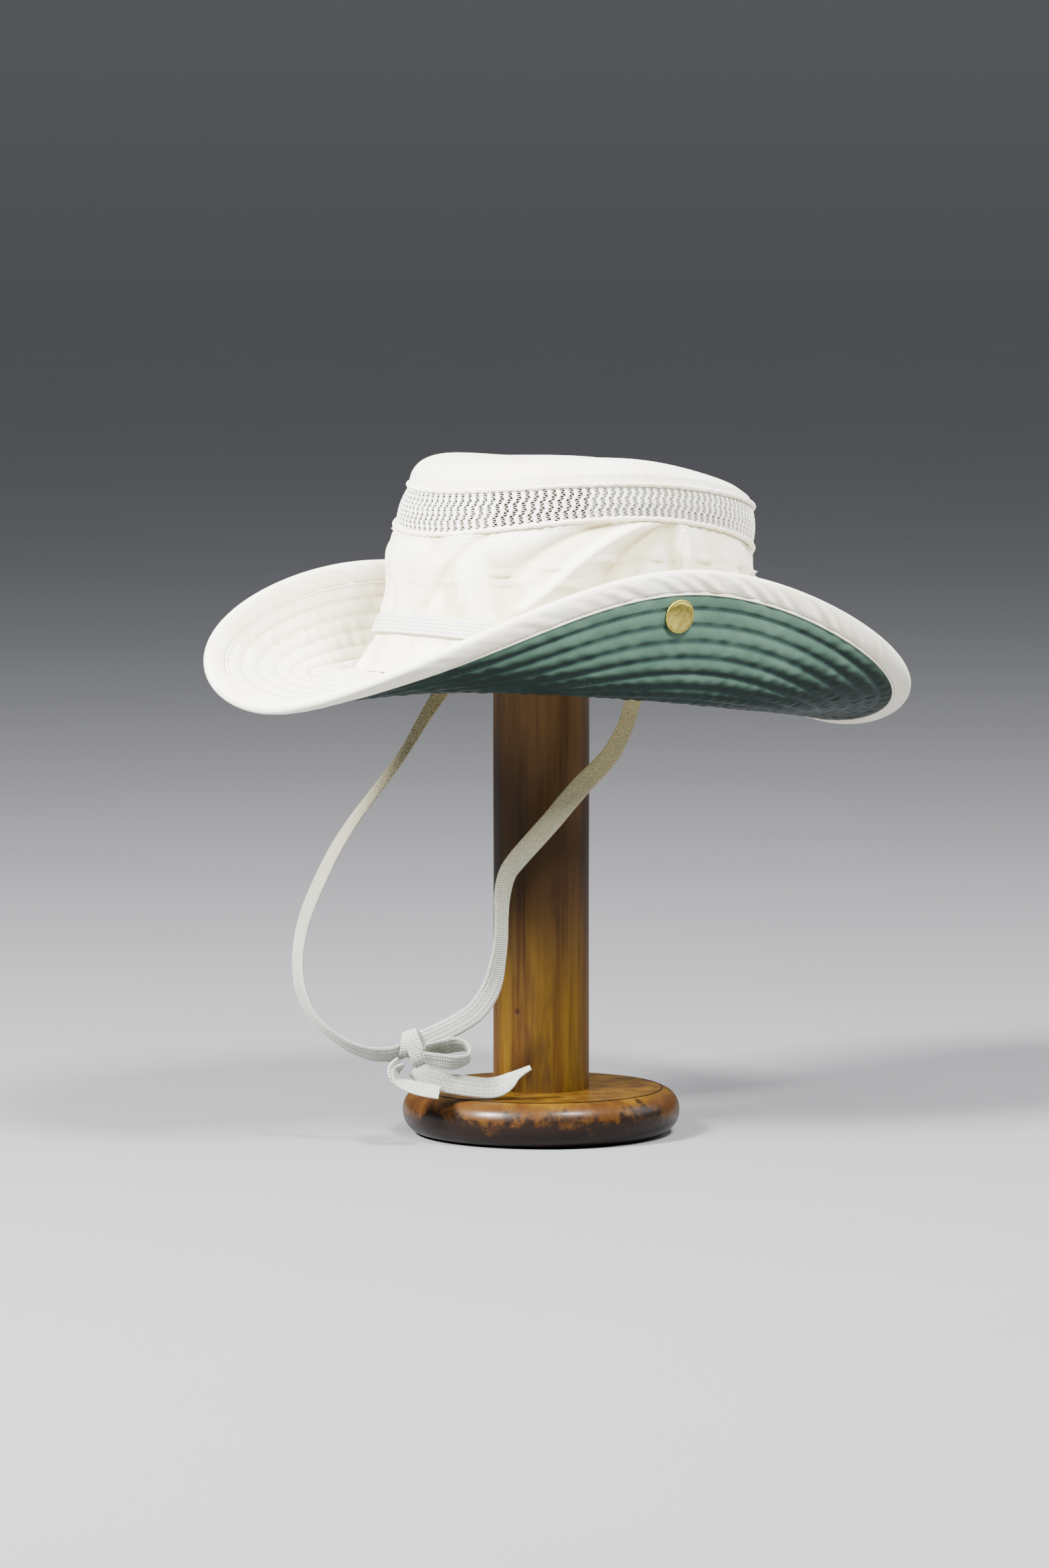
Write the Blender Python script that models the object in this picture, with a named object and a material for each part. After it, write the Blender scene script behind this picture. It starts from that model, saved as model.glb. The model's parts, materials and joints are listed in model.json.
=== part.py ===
"""A snap-up sun hat with a vent band and a chin cord, on its turned wooden stand.

Metres, +Z up. The origin is the middle of the stand's underside. The hat's front points to -Y and its left
side, with the brass snap that shows, to +X. Angles round the hat start at the front and run by +X to the back.
"""

import math

import bmesh
import bpy
from mathutils import Vector

MM = 0.001
GAP = 0.3 * MM

# The stand.
POST_RADIUS = 22.25 * MM
BASE_RADIUS = 64.5 * MM
BASE_HEIGHT = 21.0 * MM
BASE_ROUND = 9.0 * MM
STAND_SIDES = 32

# Cloth walls and the steps round each ring.
CLOTH = 1.2 * MM
KNIT = 1.6 * MM
KNIT_BULGE = 1.4 * MM
PIPING_RADIUS = 1.1 * MM
PIPING_INSET = 0.3 * MM
ROUND_STEPS = 60
WALL_ROWS = 7
BRIM_ROWS = 4
BINDING_WIDTH = 10.5 * MM
BINDING_ROOM = 0.75 * MM
LAYER_GAP = 0.15 * MM

# Where the walls meet at their seams.
SIDE_LIFT = 2.0 * MM
TIP_SEAM_LIFT = 1.35 * MM
BRIM_TUCK = 2.2 * MM
BRIM_END = 0.993

# The hat's rings from the brim to the tip, in millimetres: half length along Y, half width along X, the
# middle's Y, the heights at front, sides and back, and how square the oval is (2 is an ellipse).
RING_COLUMNS = ("length", "width", "middle", "front", "side", "back", "square")
RINGS = {
    "edge": (176.5, 104.5, 12.6, 207.0, 260.5, 181.0, 2.6),
    "turn": (139.0, 100.0, 14.0, 213.0, 203.5, 190.5, 2.3),
    "root": (104.0, 82.0, 14.8, 216.0, 206.0, 194.0, 2.1),
    "flare": (93.0, 74.5, 16.0, 238.0, 228.0, 218.0, 2.1),
    "waist": (89.0, 71.0, 17.7, 251.0, 249.0, 236.0, 2.15),
    "upper": (90.0, 69.5, 17.5, 268.0, 274.0, 252.0, 2.2),
    "mesh_seam": (87.2, 67.5, 19.8, 280.5, 286.8, 264.5, 2.25),
    "tip_seam": (84.2, 66.0, 24.0, 299.9, 302.2, 285.5, 2.2),
    "shoulder": (80.5, 63.0, 22.8, 308.0, 308.6, 291.8, 2.2),
    "crease": (72.5, 57.0, 21.0, 312.3, 312.0, 298.0, 2.15),
    "plateau": (50.0, 42.0, 13.0, 313.9, 313.8, 307.5, 2.1),
    "post_top": (24.0, 24.0, 0.0, 314.4, 314.4, 313.8, 2.0),
}
TIP_MIDDLE = Vector((0.0, 0.0, 314.6 * MM))

# The worn brim's edge isn't even: waves in its height and in its reach from the middle.
# Columns: times round, cosine share, sine share. Heights are in millimetres, reach is a ratio.
EDGE_HEIGHT_WAVES = ((2, 0.0, -3.4), (3, -2.1, -2.5), (4, 1.4, 0.0))
EDGE_REACH_WAVES = ((3, 0.025, 0.0),)

# Main folds and gathers of the crown side. Columns: angle and height share at the fold's lower end, the same
# at its upper end, half width in degrees, and how far it stands out in millimetres.
FOLD_COLUMNS = ("low_angle", "low", "high_angle", "high", "spread", "out")
FOLD_FADE = 0.07
FOLD_ROOM = {"low": 1 / 8, "high": 1 / 12}
FOLDS = (
    (62.0, 0.62, 84.0, 0.93, 5.0, 2.6),
    (106.0, 0.58, 100.0, 0.92, 4.0, 2.2),
    (94.0, 0.50, 93.0, 0.90, 3.5, -1.6),
    (6.0, 0.30, 12.0, 0.75, 5.0, 1.8),
    (18.0, 0.28, 17.0, 0.70, 5.0, -1.8),
    (29.0, 0.30, 25.0, 0.72, 6.0, 2.0),
    (40.0, 0.25, 38.0, 0.62, 5.0, -1.6),
    (150.0, 0.25, 156.0, 0.80, 7.0, 1.8),
    (205.0, 0.25, 212.0, 0.75, 7.0, -1.6),
    (262.0, 0.45, 270.0, 0.92, 6.0, 1.8),
    (325.0, 0.25, 318.0, 0.80, 7.0, 1.6),
)

# Brass: the snap on each side of the brim and the eyelet that lets the cord through each side of the crown.
SNAP_RADIUS = 7.8 * MM
SNAP_RISE = 2.6 * MM
SNAP_SHARE = 0.825
SNAP_ROOM = 0.1 * MM
SOCKET_ROOM = 0.9 * MM
SOCKET_RISE = 1.6 * MM

# Sections from the middle of the base to the middle of the top: shares of the snap's radius and of the rise.
CAP_SHARES = ((0.0, 0.0), (0.94, 0.0), (1.0, 0.35), (0.75, 0.85), (0.4, 0.97), (0.0, 1.0))
SOCKET_SHARES = ((0.0, 0.0), (0.72, 0.0), (0.6, 1.0), (0.0, 1.0))
SNAP_ANGLES = {"near": 84.5, "far": 275.5}
EYELET_ANGLES = {"near": 90.0, "far": 270.0}
EYELET_HEIGHT = 0.20
EYELET_BORE = 3.6 * MM
EYELET_NECK = 4.4 * MM
EYELET_FLANGE = 6.6 * MM
EYELET_LIP = 0.8 * MM
EYELET_GRIP = CLOTH / 2 + 0.66 * MM
CUTTER_REACH = 8.0 * MM

# The chin cord, a flat braid.
CORD_WIDTH = 9.5 * MM
CORD_THICK = 1.8 * MM
BAND_STEPS = ROUND_STEPS // 2
BAND_ROOM = 1.5 * MM
BAND_RISE = 0.065

# The braid is bunched where it goes through an eyelet: its width's share there, and how much wider it is at each
# step along the band. Over the first three steps the band comes down onto the cloth from this far off.
BUNCHED = 0.6
UNBUNCHED_FROM = 0.66
WIDER_A_STEP = 0.17
BAND_COMES_DOWN = 1.8 * MM
BUNCHED_PART = 1 / 8

# The band's last bend into an eyelet: out from the crown's wall and forward along the band.
BEND_COLUMNS = ("out", "forward")
BEND = ((3.3 * MM, 1.6 * MM), (1.9 * MM, 0.3 * MM), (0.5 * MM, 0.0))

# The picture's plane stands at this angle to the hat: routes are given across it, away from the eye, and up.
VIEW_TURN = math.radians(52.0)

MATERIALS = {
    "cotton": ((0.90, 0.87, 0.76, 1.0), 0.85, 0.0),
    "knit": ((0.93, 0.91, 0.82, 1.0), 0.80, 0.0),
    "green_lining": ((0.05, 0.13, 0.10, 1.0), 0.55, 0.0),
    "cord": ((0.84, 0.82, 0.72, 1.0), 0.80, 0.0),
    "brass": ((0.72, 0.60, 0.25, 1.0), 0.35, 1.0),
    "wood": ((0.34, 0.16, 0.05, 1.0), 0.35, 0.0),
}


def clear_scene():
    for thing in list(bpy.data.objects):
        bpy.data.objects.remove(thing)


def material(name):
    """The named finish, made the first time that it is asked for."""
    if name in bpy.data.materials:
        return bpy.data.materials[name]
    colour, roughness, metallic = MATERIALS[name]
    made = bpy.data.materials.new(name)
    made.use_nodes = True
    shader = made.node_tree.nodes["Principled BSDF"]
    shader.inputs["Base Color"].default_value = colour
    shader.inputs["Roughness"].default_value = roughness
    shader.inputs["Metallic"].default_value = metallic
    made.diffuse_color = colour
    return made


def finish(name, mesh, finish_name):
    """Makes the closed bmesh an object with its faces out, shaded smooth but for its sharp edges."""
    bmesh.ops.recalc_face_normals(mesh, faces=mesh.faces)
    data = bpy.data.meshes.new(name)
    mesh.to_mesh(data)
    mesh.free()
    data.shade_smooth()
    data.set_sharp_from_angle(angle=math.radians(40))
    data.materials.append(material(finish_name))
    made = bpy.data.objects.new(name, data)
    bpy.context.scene.collection.objects.link(made)
    return made


def waves(table, angle):
    return sum(c * math.cos(n * angle) + s * math.sin(n * angle) for n, c, s in table)


def ring_point(sizes, angle, height_waves=(), reach_waves=()):
    """The point at an angle on an oval ring that saddles between its front, side and back heights."""
    row = dict(zip(RING_COLUMNS, sizes))
    sine, cosine = math.sin(angle), math.cos(angle)
    power = row["square"]
    reach = (abs(sine) ** power + abs(cosine) ** power) ** (-1.0 / power)
    reach *= 1.0 + waves(reach_waves, angle)
    ends = (row["front"] + row["back"]) / 2.0
    height = (ends + row["side"]) / 2.0 + (ends - row["side"]) / 2.0 * math.cos(2.0 * angle)
    height += (row["front"] - row["back"]) / 2.0 * cosine + waves(height_waves, angle)
    return MM * Vector((row["width"] * sine * reach, row["middle"] - row["length"] * cosine * reach, height))


def edge_point(angle):
    return ring_point(RINGS["edge"], angle, EDGE_HEIGHT_WAVES, EDGE_REACH_WAVES)


def along(points, share):
    """A point at a share of the way along a smooth curve through the points."""
    place = min(max(share, 0.0), 1.0) * (len(points) - 1)
    start = min(int(place), len(points) - 2)
    t = place - start
    p0 = points[max(start - 1, 0)]
    p1, p2 = points[start], points[start + 1]
    p3 = points[min(start + 2, len(points) - 1)]
    return 0.5 * (
        2.0 * p1 + (p2 - p0) * t + (2.0 * p0 - 5.0 * p1 + 4.0 * p2 - p3) * t * t + (3.0 * (p1 - p2) + p3 - p0) * t**3
    )


def fold_push(angle, height):
    """How far the folds move the crown side out at an angle and a height share."""
    degrees = math.degrees(angle) % 360.0
    push = 0.0
    for values in FOLDS:
        fold = dict(zip(FOLD_COLUMNS, values))
        share = (height - fold["low"]) / (fold["high"] - fold["low"])
        middle = fold["low_angle"] + (fold["high_angle"] - fold["low_angle"]) * min(max(share, 0.0), 1.0)
        beside = (degrees - middle + 180.0) % 360.0 - 180.0
        beyond = max(-share, share - 1.0, 0.0) * (fold["high"] - fold["low"])
        push += fold["out"] * math.exp(-((beside / fold["spread"]) ** 2) - (beyond / FOLD_FADE) ** 2)
    return push * MM * min(1.0, height / FOLD_ROOM["low"], (1.0 - height) / FOLD_ROOM["high"])


def side_point(angle, height):
    """The outer face of the crown side, from the brim seam at 0 to the vent band's lower seam at 1."""
    rows = [ring_point(RINGS[name], angle) for name in ("root", "flare", "waist", "upper", "mesh_seam")]
    point = along(rows, height)
    out = Vector((math.sin(angle), -math.cos(angle), 0.0))
    return point + out * fold_push(angle, height)


def mesh_point(angle, height):
    low, high = (ring_point(RINGS[name], angle) for name in ("mesh_seam", "tip_seam"))
    out = Vector((math.sin(angle), -math.cos(angle), 0.0))
    return low.lerp(high, height) + out * KNIT_BULGE * math.sin(math.pi * height)


def brim_point(angle, share):
    """The middle of the brim's cloth, from just inside the crown at 0 to its outer edge at 1."""
    root = ring_point(RINGS["root"], angle)
    root -= BRIM_TUCK * Vector((math.sin(angle), -math.cos(angle), 0.0))
    turn = ring_point(RINGS["turn"], angle)
    edge = edge_point(angle)
    return (1 - share) ** 2 * root + 2 * share * (1 - share) * turn + share**2 * edge


def surface_frame(surface, angle, share):
    """The surface's point and its directions round, out and up from its upper face."""
    step = 0.01
    round_way = surface(angle + step, share) - surface(angle - step, share)
    low, high = (share - step, share + step) if share < 1.0 - step else (share - 2 * step, share)
    out_way = surface(angle, high) - surface(angle, max(low, 0.0))
    normal = out_way.cross(round_way).normalized()
    return surface(angle, share), round_way.normalized(), out_way.normalized(), normal


def ring_solid(name, section, finish_name, steps=ROUND_STEPS):
    """A closed ring whose section at each angle is the loop of points that section(angle) gives."""
    mesh = bmesh.new()
    loops = []
    for step in range(steps):
        loops.append([mesh.verts.new(point) for point in section(2.0 * math.pi * step / steps)])
    count = len(loops[0])
    for step in range(steps):
        here, there = loops[step], loops[(step + 1) % steps]
        for i in range(count):
            j = (i + 1) % count
            mesh.faces.new((here[i], here[j], there[j], there[i]))
    return finish(name, mesh, finish_name)


def swept_solid(name, loops, finish_name):
    """A solid with flat ends through a list of loops of points."""
    mesh = bmesh.new()
    rows = [[mesh.verts.new(point) for point in loop] for loop in loops]
    count = len(rows[0])
    for here, there in zip(rows, rows[1:]):
        for i in range(count):
            j = (i + 1) % count
            mesh.faces.new((here[i], here[j], there[j], there[i]))
    mesh.faces.new(rows[0])
    mesh.faces.new(rows[-1])
    bmesh.ops.triangulate(mesh, faces=[face for face in mesh.faces if len(face.verts) > 4])
    return finish(name, mesh, finish_name)


def turned_solid(name, profile, finish_name, steps, centre=(0, 0, 0), axis=(0, 0, 1), across=(1, 0, 0)):
    """A solid of revolution. The profile's points are (radius, height) and start and end on the axis."""
    centre, axis, across = Vector(centre), Vector(axis), Vector(across)
    beside = axis.cross(across)
    mesh = bmesh.new()
    ends = [mesh.verts.new(centre + axis * profile[i][1]) for i in (0, -1)]
    rows = []
    for radius, height in profile[1:-1]:
        row = []
        for step in range(steps):
            angle = 2.0 * math.pi * step / steps
            out = across * math.cos(angle) + beside * math.sin(angle)
            row.append(mesh.verts.new(centre + out * radius + axis * height))
        rows.append(row)
    for here, there in zip(rows, rows[1:]):
        for i in range(steps):
            j = (i + 1) % steps
            mesh.faces.new((here[i], here[j], there[j], there[i]))
    for end, row in zip(ends, (rows[0], rows[-1])):
        for i in range(steps):
            mesh.faces.new((end, row[i], row[(i + 1) % steps]))
    return finish(name, mesh, finish_name)


def cloth_ring(name, surface, inward, shares, thick, finish_name):
    """A cloth wall through surface(angle, share) at each share, thickened inwards by inward(angle)."""

    def section(angle):
        outer = [surface(angle, share) for share in shares]
        return outer + [point + inward(angle) * thick for point in reversed(outer)]

    return ring_solid(name, section, finish_name)


def inwards(angle):
    return Vector((-math.sin(angle), math.cos(angle), 0.0))


def make_stand():
    def rounded(height, sign):
        steps = 4
        for i in range(steps + 1):
            turn = math.pi / 2 * i / steps
            yield (BASE_RADIUS - BASE_ROUND * (1 - math.sin(turn)), height + sign * BASE_ROUND * (1 - math.cos(turn)))

    low = list(rounded(0.0, 1))
    high = list(rounded(BASE_HEIGHT, -1))[::-1]
    profile = [(0.0, 0.0)] + low + high + [(0.0, BASE_HEIGHT)]
    turned_solid("stand_base", profile, "wood", STAND_SIDES)
    foot = BASE_HEIGHT + GAP
    top = dict(zip(RING_COLUMNS, RINGS["post_top"]))["back"] * MM - CLOTH - GAP
    chamfer = 1.5 * MM
    profile = [
        (0.0, foot),
        (POST_RADIUS, foot),
        (POST_RADIUS, top - chamfer),
        (POST_RADIUS - chamfer, top),
        (0.0, top),
    ]
    turned_solid("stand_post", profile, "wood", STAND_SIDES)


def make_tip():
    """The top panel: a dome from its seam over the shoulder to the cloth that lies on the post."""
    names = ("tip_seam", "shoulder", "crease", "plateau", "post_top")
    seam_lift = TIP_SEAM_LIFT * Vector((0, 0, 1))
    mesh = bmesh.new()
    outer, inner = [], []
    for name in names:
        lift = seam_lift if name == "tip_seam" else Vector()
        # The seam's cloth stands upright and the rest lies flat, so the wall thickens sideways, then down.
        down = {"tip_seam": 0.0, "shoulder": 0.7}.get(name, 1.0)
        outer_row, inner_row = [], []
        for step in range(ROUND_STEPS):
            angle = 2.0 * math.pi * step / ROUND_STEPS
            point = ring_point(RINGS[name], angle) + lift
            inset = inwards(angle) * CLOTH * (1.0 - down) ** 0.5 - Vector((0, 0, CLOTH * down))
            outer_row.append(mesh.verts.new(point))
            inner_row.append(mesh.verts.new(point + inset))
        outer.append(outer_row)
        inner.append(inner_row)
    top = mesh.verts.new(TIP_MIDDLE)
    under = mesh.verts.new(TIP_MIDDLE - Vector((0, 0, CLOTH)))
    loops = inner[::-1] + outer
    for here, there in zip(loops, loops[1:]):
        for i in range(ROUND_STEPS):
            j = (i + 1) % ROUND_STEPS
            mesh.faces.new((here[i], here[j], there[j], there[i]))
    for i in range(ROUND_STEPS):
        j = (i + 1) % ROUND_STEPS
        mesh.faces.new((outer[-1][i], outer[-1][j], top))
        mesh.faces.new((inner[-1][j], inner[-1][i], under))
    return finish("crown_tip", mesh, "cotton")


def make_piping(name, ring_name):
    """The corded seam: a bead that stands a little proud of the walls above and below it."""
    sides = 4

    def section(angle):
        centre = ring_point(RINGS[ring_name], angle) + inwards(angle) * PIPING_INSET
        out = -inwards(angle)
        turns = [2.0 * math.pi * (i + 0.5) / sides for i in range(sides)]
        return [centre + PIPING_RADIUS * (out * math.cos(t) + Vector((0, 0, math.sin(t)))) for t in turns]

    return ring_solid(name, section, "cotton")


def make_crown():
    seam_room = PIPING_RADIUS + GAP

    def side(angle, height):
        # The wall's lower edge is lifted off the brim and its upper edge stops short of the piping.
        lift = SIDE_LIFT * (1.0 - height) ** 6 - seam_room * height**6
        return side_point(angle, height) + Vector((0, 0, lift))

    def knit(angle, height):
        low, high = mesh_point(angle, 0.0), mesh_point(angle, 1.0)
        trim = seam_room / (high - low).length
        return mesh_point(angle, trim + (1.0 - 2.0 * trim) * height)

    rows = [i / WALL_ROWS for i in range(WALL_ROWS + 1)]
    crown = cloth_ring("crown_side", side, inwards, rows, CLOTH, "cotton")
    cloth_ring("vent_mesh", knit, inwards, (0.0, 0.5, 1.0), KNIT, "knit")
    make_piping("mesh_piping", "mesh_seam")
    make_piping("tip_piping", "tip_seam")
    make_tip()
    return crown


def binding_share(angle):
    """The brim share at the binding's inner edge."""
    edge = edge_point(angle)
    pace = 2.0 * (edge - ring_point(RINGS["turn"], angle)).length
    return 1.0 - BINDING_WIDTH / pace


def make_brim():
    """Two layers stitched together in rows, with a binding folded round their edge."""
    skin = LAYER_GAP + CLOTH

    def layer(sign):
        def section(angle):
            inset = binding_share(angle)
            shares = [inset * i / BRIM_ROWS for i in range(BRIM_ROWS + 1)] + [BRIM_END]
            inner, outer = [], []
            for share in shares:
                point, _, _, normal = surface_frame(brim_point, angle, share)
                inner.append(point + normal * sign * LAYER_GAP)
                outer.append(point + normal * sign * skin)
            return inner + outer[::-1]

        return section

    def binding(angle):
        near = skin + BINDING_ROOM
        far = near + CLOTH
        rounded = far * 0.8
        inset, _, _, lift = surface_frame(brim_point, angle, binding_share(angle))
        edge, _, out, normal = surface_frame(brim_point, angle, BRIM_END)
        inner_end = edge + out * 0.5 * MM
        outer_end = inner_end + out * 1.1 * MM
        return [
            inset + lift * near,
            inner_end + normal * near,
            inner_end - normal * near,
            inset - lift * near,
            inset - lift * far,
            outer_end - normal * rounded,
            outer_end + normal * rounded,
            inset + lift * far,
        ]

    ring_solid("brim_top", layer(1.0), "cotton")
    ring_solid("brim_under", layer(-1.0), "green_lining")
    ring_solid("brim_binding", binding, "cotton")


def make_snaps():
    """The cap on the brim's underside, and the plain socket on its upper face behind it."""
    skin = LAYER_GAP + CLOTH + GAP
    cap = [(SNAP_RADIUS * radius, SNAP_RISE * rise) for radius, rise in CAP_SHARES]
    socket = [(SNAP_RADIUS * radius, SOCKET_RISE * rise) for radius, rise in SOCKET_SHARES]
    for side, degrees in SNAP_ANGLES.items():
        point, round_way, _, normal = surface_frame(brim_point, math.radians(degrees), SNAP_SHARE)
        under = point - normal * (skin + SNAP_ROOM)
        upper = point + normal * (skin + SOCKET_ROOM)
        turned_solid(f"{side}_snap_cap", cap, "brass", 16, under, -normal, round_way)
        turned_solid(f"{side}_snap_socket", socket, "brass", 12, upper, normal, round_way)


def eyelet_frame(side):
    """The middle of the crown's wall at the eyelet, and its outward, level and upward directions."""
    angle = math.radians(EYELET_ANGLES[side])
    point, level, upward, _ = surface_frame(side_point, angle, EYELET_HEIGHT)
    out = level.cross(upward).normalized()
    return point - out * CLOTH / 2, out, level, upward


def make_eyelets(crown):
    """Cuts the crown for each eyelet and rolls a flanged ring into the hole."""
    sides = 12
    for side in EYELET_ANGLES:
        centre, out, level, _ = eyelet_frame(side)
        neck, reach = EYELET_NECK + GAP, CUTTER_REACH
        hole = [(0.0, -reach), (neck, -reach), (neck, reach), (0.0, reach)]
        cutter = turned_solid(f"{side}_eyelet_cutter", hole, "brass", sides, centre, out, level)
        cutter.hide_render = True
        cutter.display_type = "WIRE"
        cut = crown.modifiers.new(f"{side}_eyelet_hole", "BOOLEAN")
        cut.object = cutter
        cut.operation = "DIFFERENCE"
        grip, lip = EYELET_GRIP, EYELET_LIP
        loop = [
            (EYELET_BORE, grip + lip),
            (EYELET_FLANGE, grip + lip / 2),
            (EYELET_FLANGE, grip),
            (EYELET_NECK, grip),
            (EYELET_NECK, -grip),
            (EYELET_FLANGE, -grip),
            (EYELET_FLANGE, -grip - lip / 2),
            (EYELET_BORE, -grip - lip),
        ]
        beside = out.cross(level)

        def section(angle):
            way = level * math.cos(angle) + beside * math.sin(angle)
            return [centre + way * radius + out * height for radius, height in loop]

        ring_solid(f"{side}_eyelet", section, "brass", sides)


def from_view(across, away, up):
    """Row coordinates of a point given across the picture's plane, away from the eye and up, in millimetres."""
    right = Vector((math.cos(VIEW_TURN), math.sin(VIEW_TURN), 0.0))
    ahead = Vector((-math.sin(VIEW_TURN), math.cos(VIEW_TURN), 0.0))
    return MM * (right * across + ahead * away + Vector((0.0, 0.0, up)))


def braid_section(point, wide, thick, share):
    """The flat braid's section, with its edges rounded off."""
    half, rise = wide * CORD_WIDTH / 2 * share, thick * CORD_THICK / 2
    corner = half * (1.0 - CORD_THICK / CORD_WIDTH)
    return [
        point + half,
        point + corner + rise,
        point - corner + rise,
        point - half,
        point - corner - rise,
        point + corner - rise,
    ]


def braid(name, route, steps, narrow=(1.0, 1.0)):
    """The flat braid along a route.

    route's rows are a point and the turn of the braid's width, in degrees: 0 lies across the picture and 90
    away from the eye. narrow gives the width's share at the route's start and end, where it is bunched.
    """
    points = [row[0] for row in route]
    turns = [Vector((row[1], 0.0, 0.0)) for row in route]
    eye = from_view(0.0, 1000.0, 0.0)
    start_share, end_share = narrow
    loops = []
    for i in range(steps + 1):
        share = i / steps
        point = along(points, share)
        ahead = (along(points, share + 0.5 / steps) - along(points, share - 0.5 / steps)).normalized()
        across = ahead.cross(eye).normalized()
        deep = across.cross(ahead).normalized()
        turn = math.radians(along(turns, share).x)
        wide = across * math.cos(turn) + deep * math.sin(turn)
        thick = ahead.cross(wide).normalized()
        squeeze = max(0.0, 1.0 - share / BUNCHED_PART) * (start_share - 1.0)
        squeeze += max(0.0, 1.0 - (1.0 - share) / BUNCHED_PART) * (end_share - 1.0)
        loops.append(braid_section(point, wide, thick, 1.0 + squeeze))
    return swept_solid(name, loops, "cord")


# The cord's hanging routes: across the picture, away from the eye, up, and the turn of the width.
NEAR_ROUTE = (
    (51.5, -41.0, 218.0, 50.0),
    (42.7, -38.5, 205.0, 40.0),
    (38.4, -38.5, 192.2, 37.0),
    (31.0, -39.5, 178.5, 24.0),
    (19.2, -41.0, 166.1, 8.0),
    (11.9, -42.0, 157.9, 5.0),
    (5.3, -43.0, 150.0, 5.0),
    (-3.6, -43.8, 140.0, 8.0),
    (-11.4, -44.0, 131.1, 15.0),
    (-15.8, -43.8, 124.4, 28.0),
    (-17.8, -43.3, 115.6, 38.0),
    (-18.3, -43.0, 105.6, 48.0),
    (-18.6, -43.0, 94.5, 48.0),
    (-20.0, -43.2, 84.5, 40.0),
    (-21.9, -43.5, 75.6, 25.0),
    (-25.3, -43.4, 67.8, 8.0),
    (-30.3, -42.8, 61.1, 2.0),
    (-38.0, -42.0, 55.8, 0.0),
    (-46.9, -42.0, 51.2, 0.0),
    (-52.9, -42.8, 48.6, 0.0),
)
FAR_ROUTE = (
    (-38.5, 61.0, 214.0, -40.0),
    (-48.0, 58.5, 200.1, -48.0),
    (-55.2, 53.0, 189.0, -58.0),
    (-63.2, 46.5, 175.7, -66.0),
    (-71.1, 39.5, 164.8, -66.0),
    (-80.0, 31.0, 153.5, -66.0),
    (-87.8, 22.5, 143.4, -62.0),
    (-96.1, 12.0, 130.7, -57.0),
    (-103.1, 1.0, 116.9, -54.0),
    (-108.0, -8.0, 105.4, -54.0),
    (-111.1, -15.5, 94.8, -56.0),
    (-112.4, -21.5, 84.2, -57.0),
    (-111.9, -26.0, 74.5, -57.0),
    (-109.6, -30.0, 66.0, -57.0),
    (-105.0, -34.0, 58.0, -61.0),
    (-97.6, -38.0, 51.2, -62.0),
    (-88.6, -40.5, 45.3, -56.0),
    (-78.5, -42.0, 41.8, -44.0),
    (-70.5, -43.0, 41.6, -38.0),
    (-66.6, -43.4, 42.2, -36.0),
)
LOOP_ROUTE = (
    (-53.5, -48.9, 44.4, -50.0),
    (-45.5, -47.4, 45.6, -38.0),
    (-39.4, -46.6, 46.6, -36.0),
    (-34.6, -47.6, 46.0, -60.0),
    (-32.6, -50.4, 43.4, -90.0),
    (-34.2, -53.2, 40.6, -118.0),
    (-39.4, -54.2, 39.4, -140.0),
    (-45.5, -53.6, 39.8, -142.0),
    (-53.2, -51.0, 41.0, -130.0),
)
LONG_TAIL_ROUTE = (
    (-58.0, -45.3, 35.6, 0.0),
    (-52.8, -47.5, 32.0, 0.0),
    (-45.5, -48.5, 29.8, 0.0),
    (-33.3, -48.5, 27.6, 0.0),
    (-23.5, -48.0, 26.7, 5.0),
    (-17.4, -47.5, 28.4, 30.0),
    (-11.3, -47.0, 32.6, 65.0),
    (-4.9, -46.5, 36.0, 75.0),
)
SHORT_TAIL_ROUTE = (
    (-63.4, -48.6, 37.4, 70.0),
    (-66.3, -50.0, 34.6, 70.0),
    (-65.3, -51.8, 30.8, 68.0),
    (-60.5, -53.4, 28.4, 62.0),
    (-54.1, -54.0, 26.8, 57.0),
    (-46.7, -54.0, 25.4, 54.0),
)

# The bow's middle, where the braid is wrapped round itself: oval sections from its foot to its top.
KNOT_MIDDLE = (-59.3, -44.0, 45.0)
KNOT_HALF_HEIGHT = 7.2
KNOT_SIDES = 12
KNOT_COLUMNS = ("height_share", "half_width", "half_depth")
KNOT_SECTIONS = (
    (-1.0, 3.0, 2.2),
    (-0.7, 5.4, 3.6),
    (0.0, 6.2, 4.2),
    (0.7, 5.4, 3.6),
    (1.0, 3.0, 2.2),
)


def routed(table):
    return [(from_view(across, away, up), turn) for across, away, up, turn in table]


def from_eyelet(side, table):
    """The route out of the eyelet's bore into the crown, and then down through the table's points."""
    centre, out, _, _ = eyelet_frame(side)
    turn = table[0][3]
    return [(centre - out * 0.3 * MM, turn), (centre - out * 4.5 * MM, turn)] + routed(table)


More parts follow.
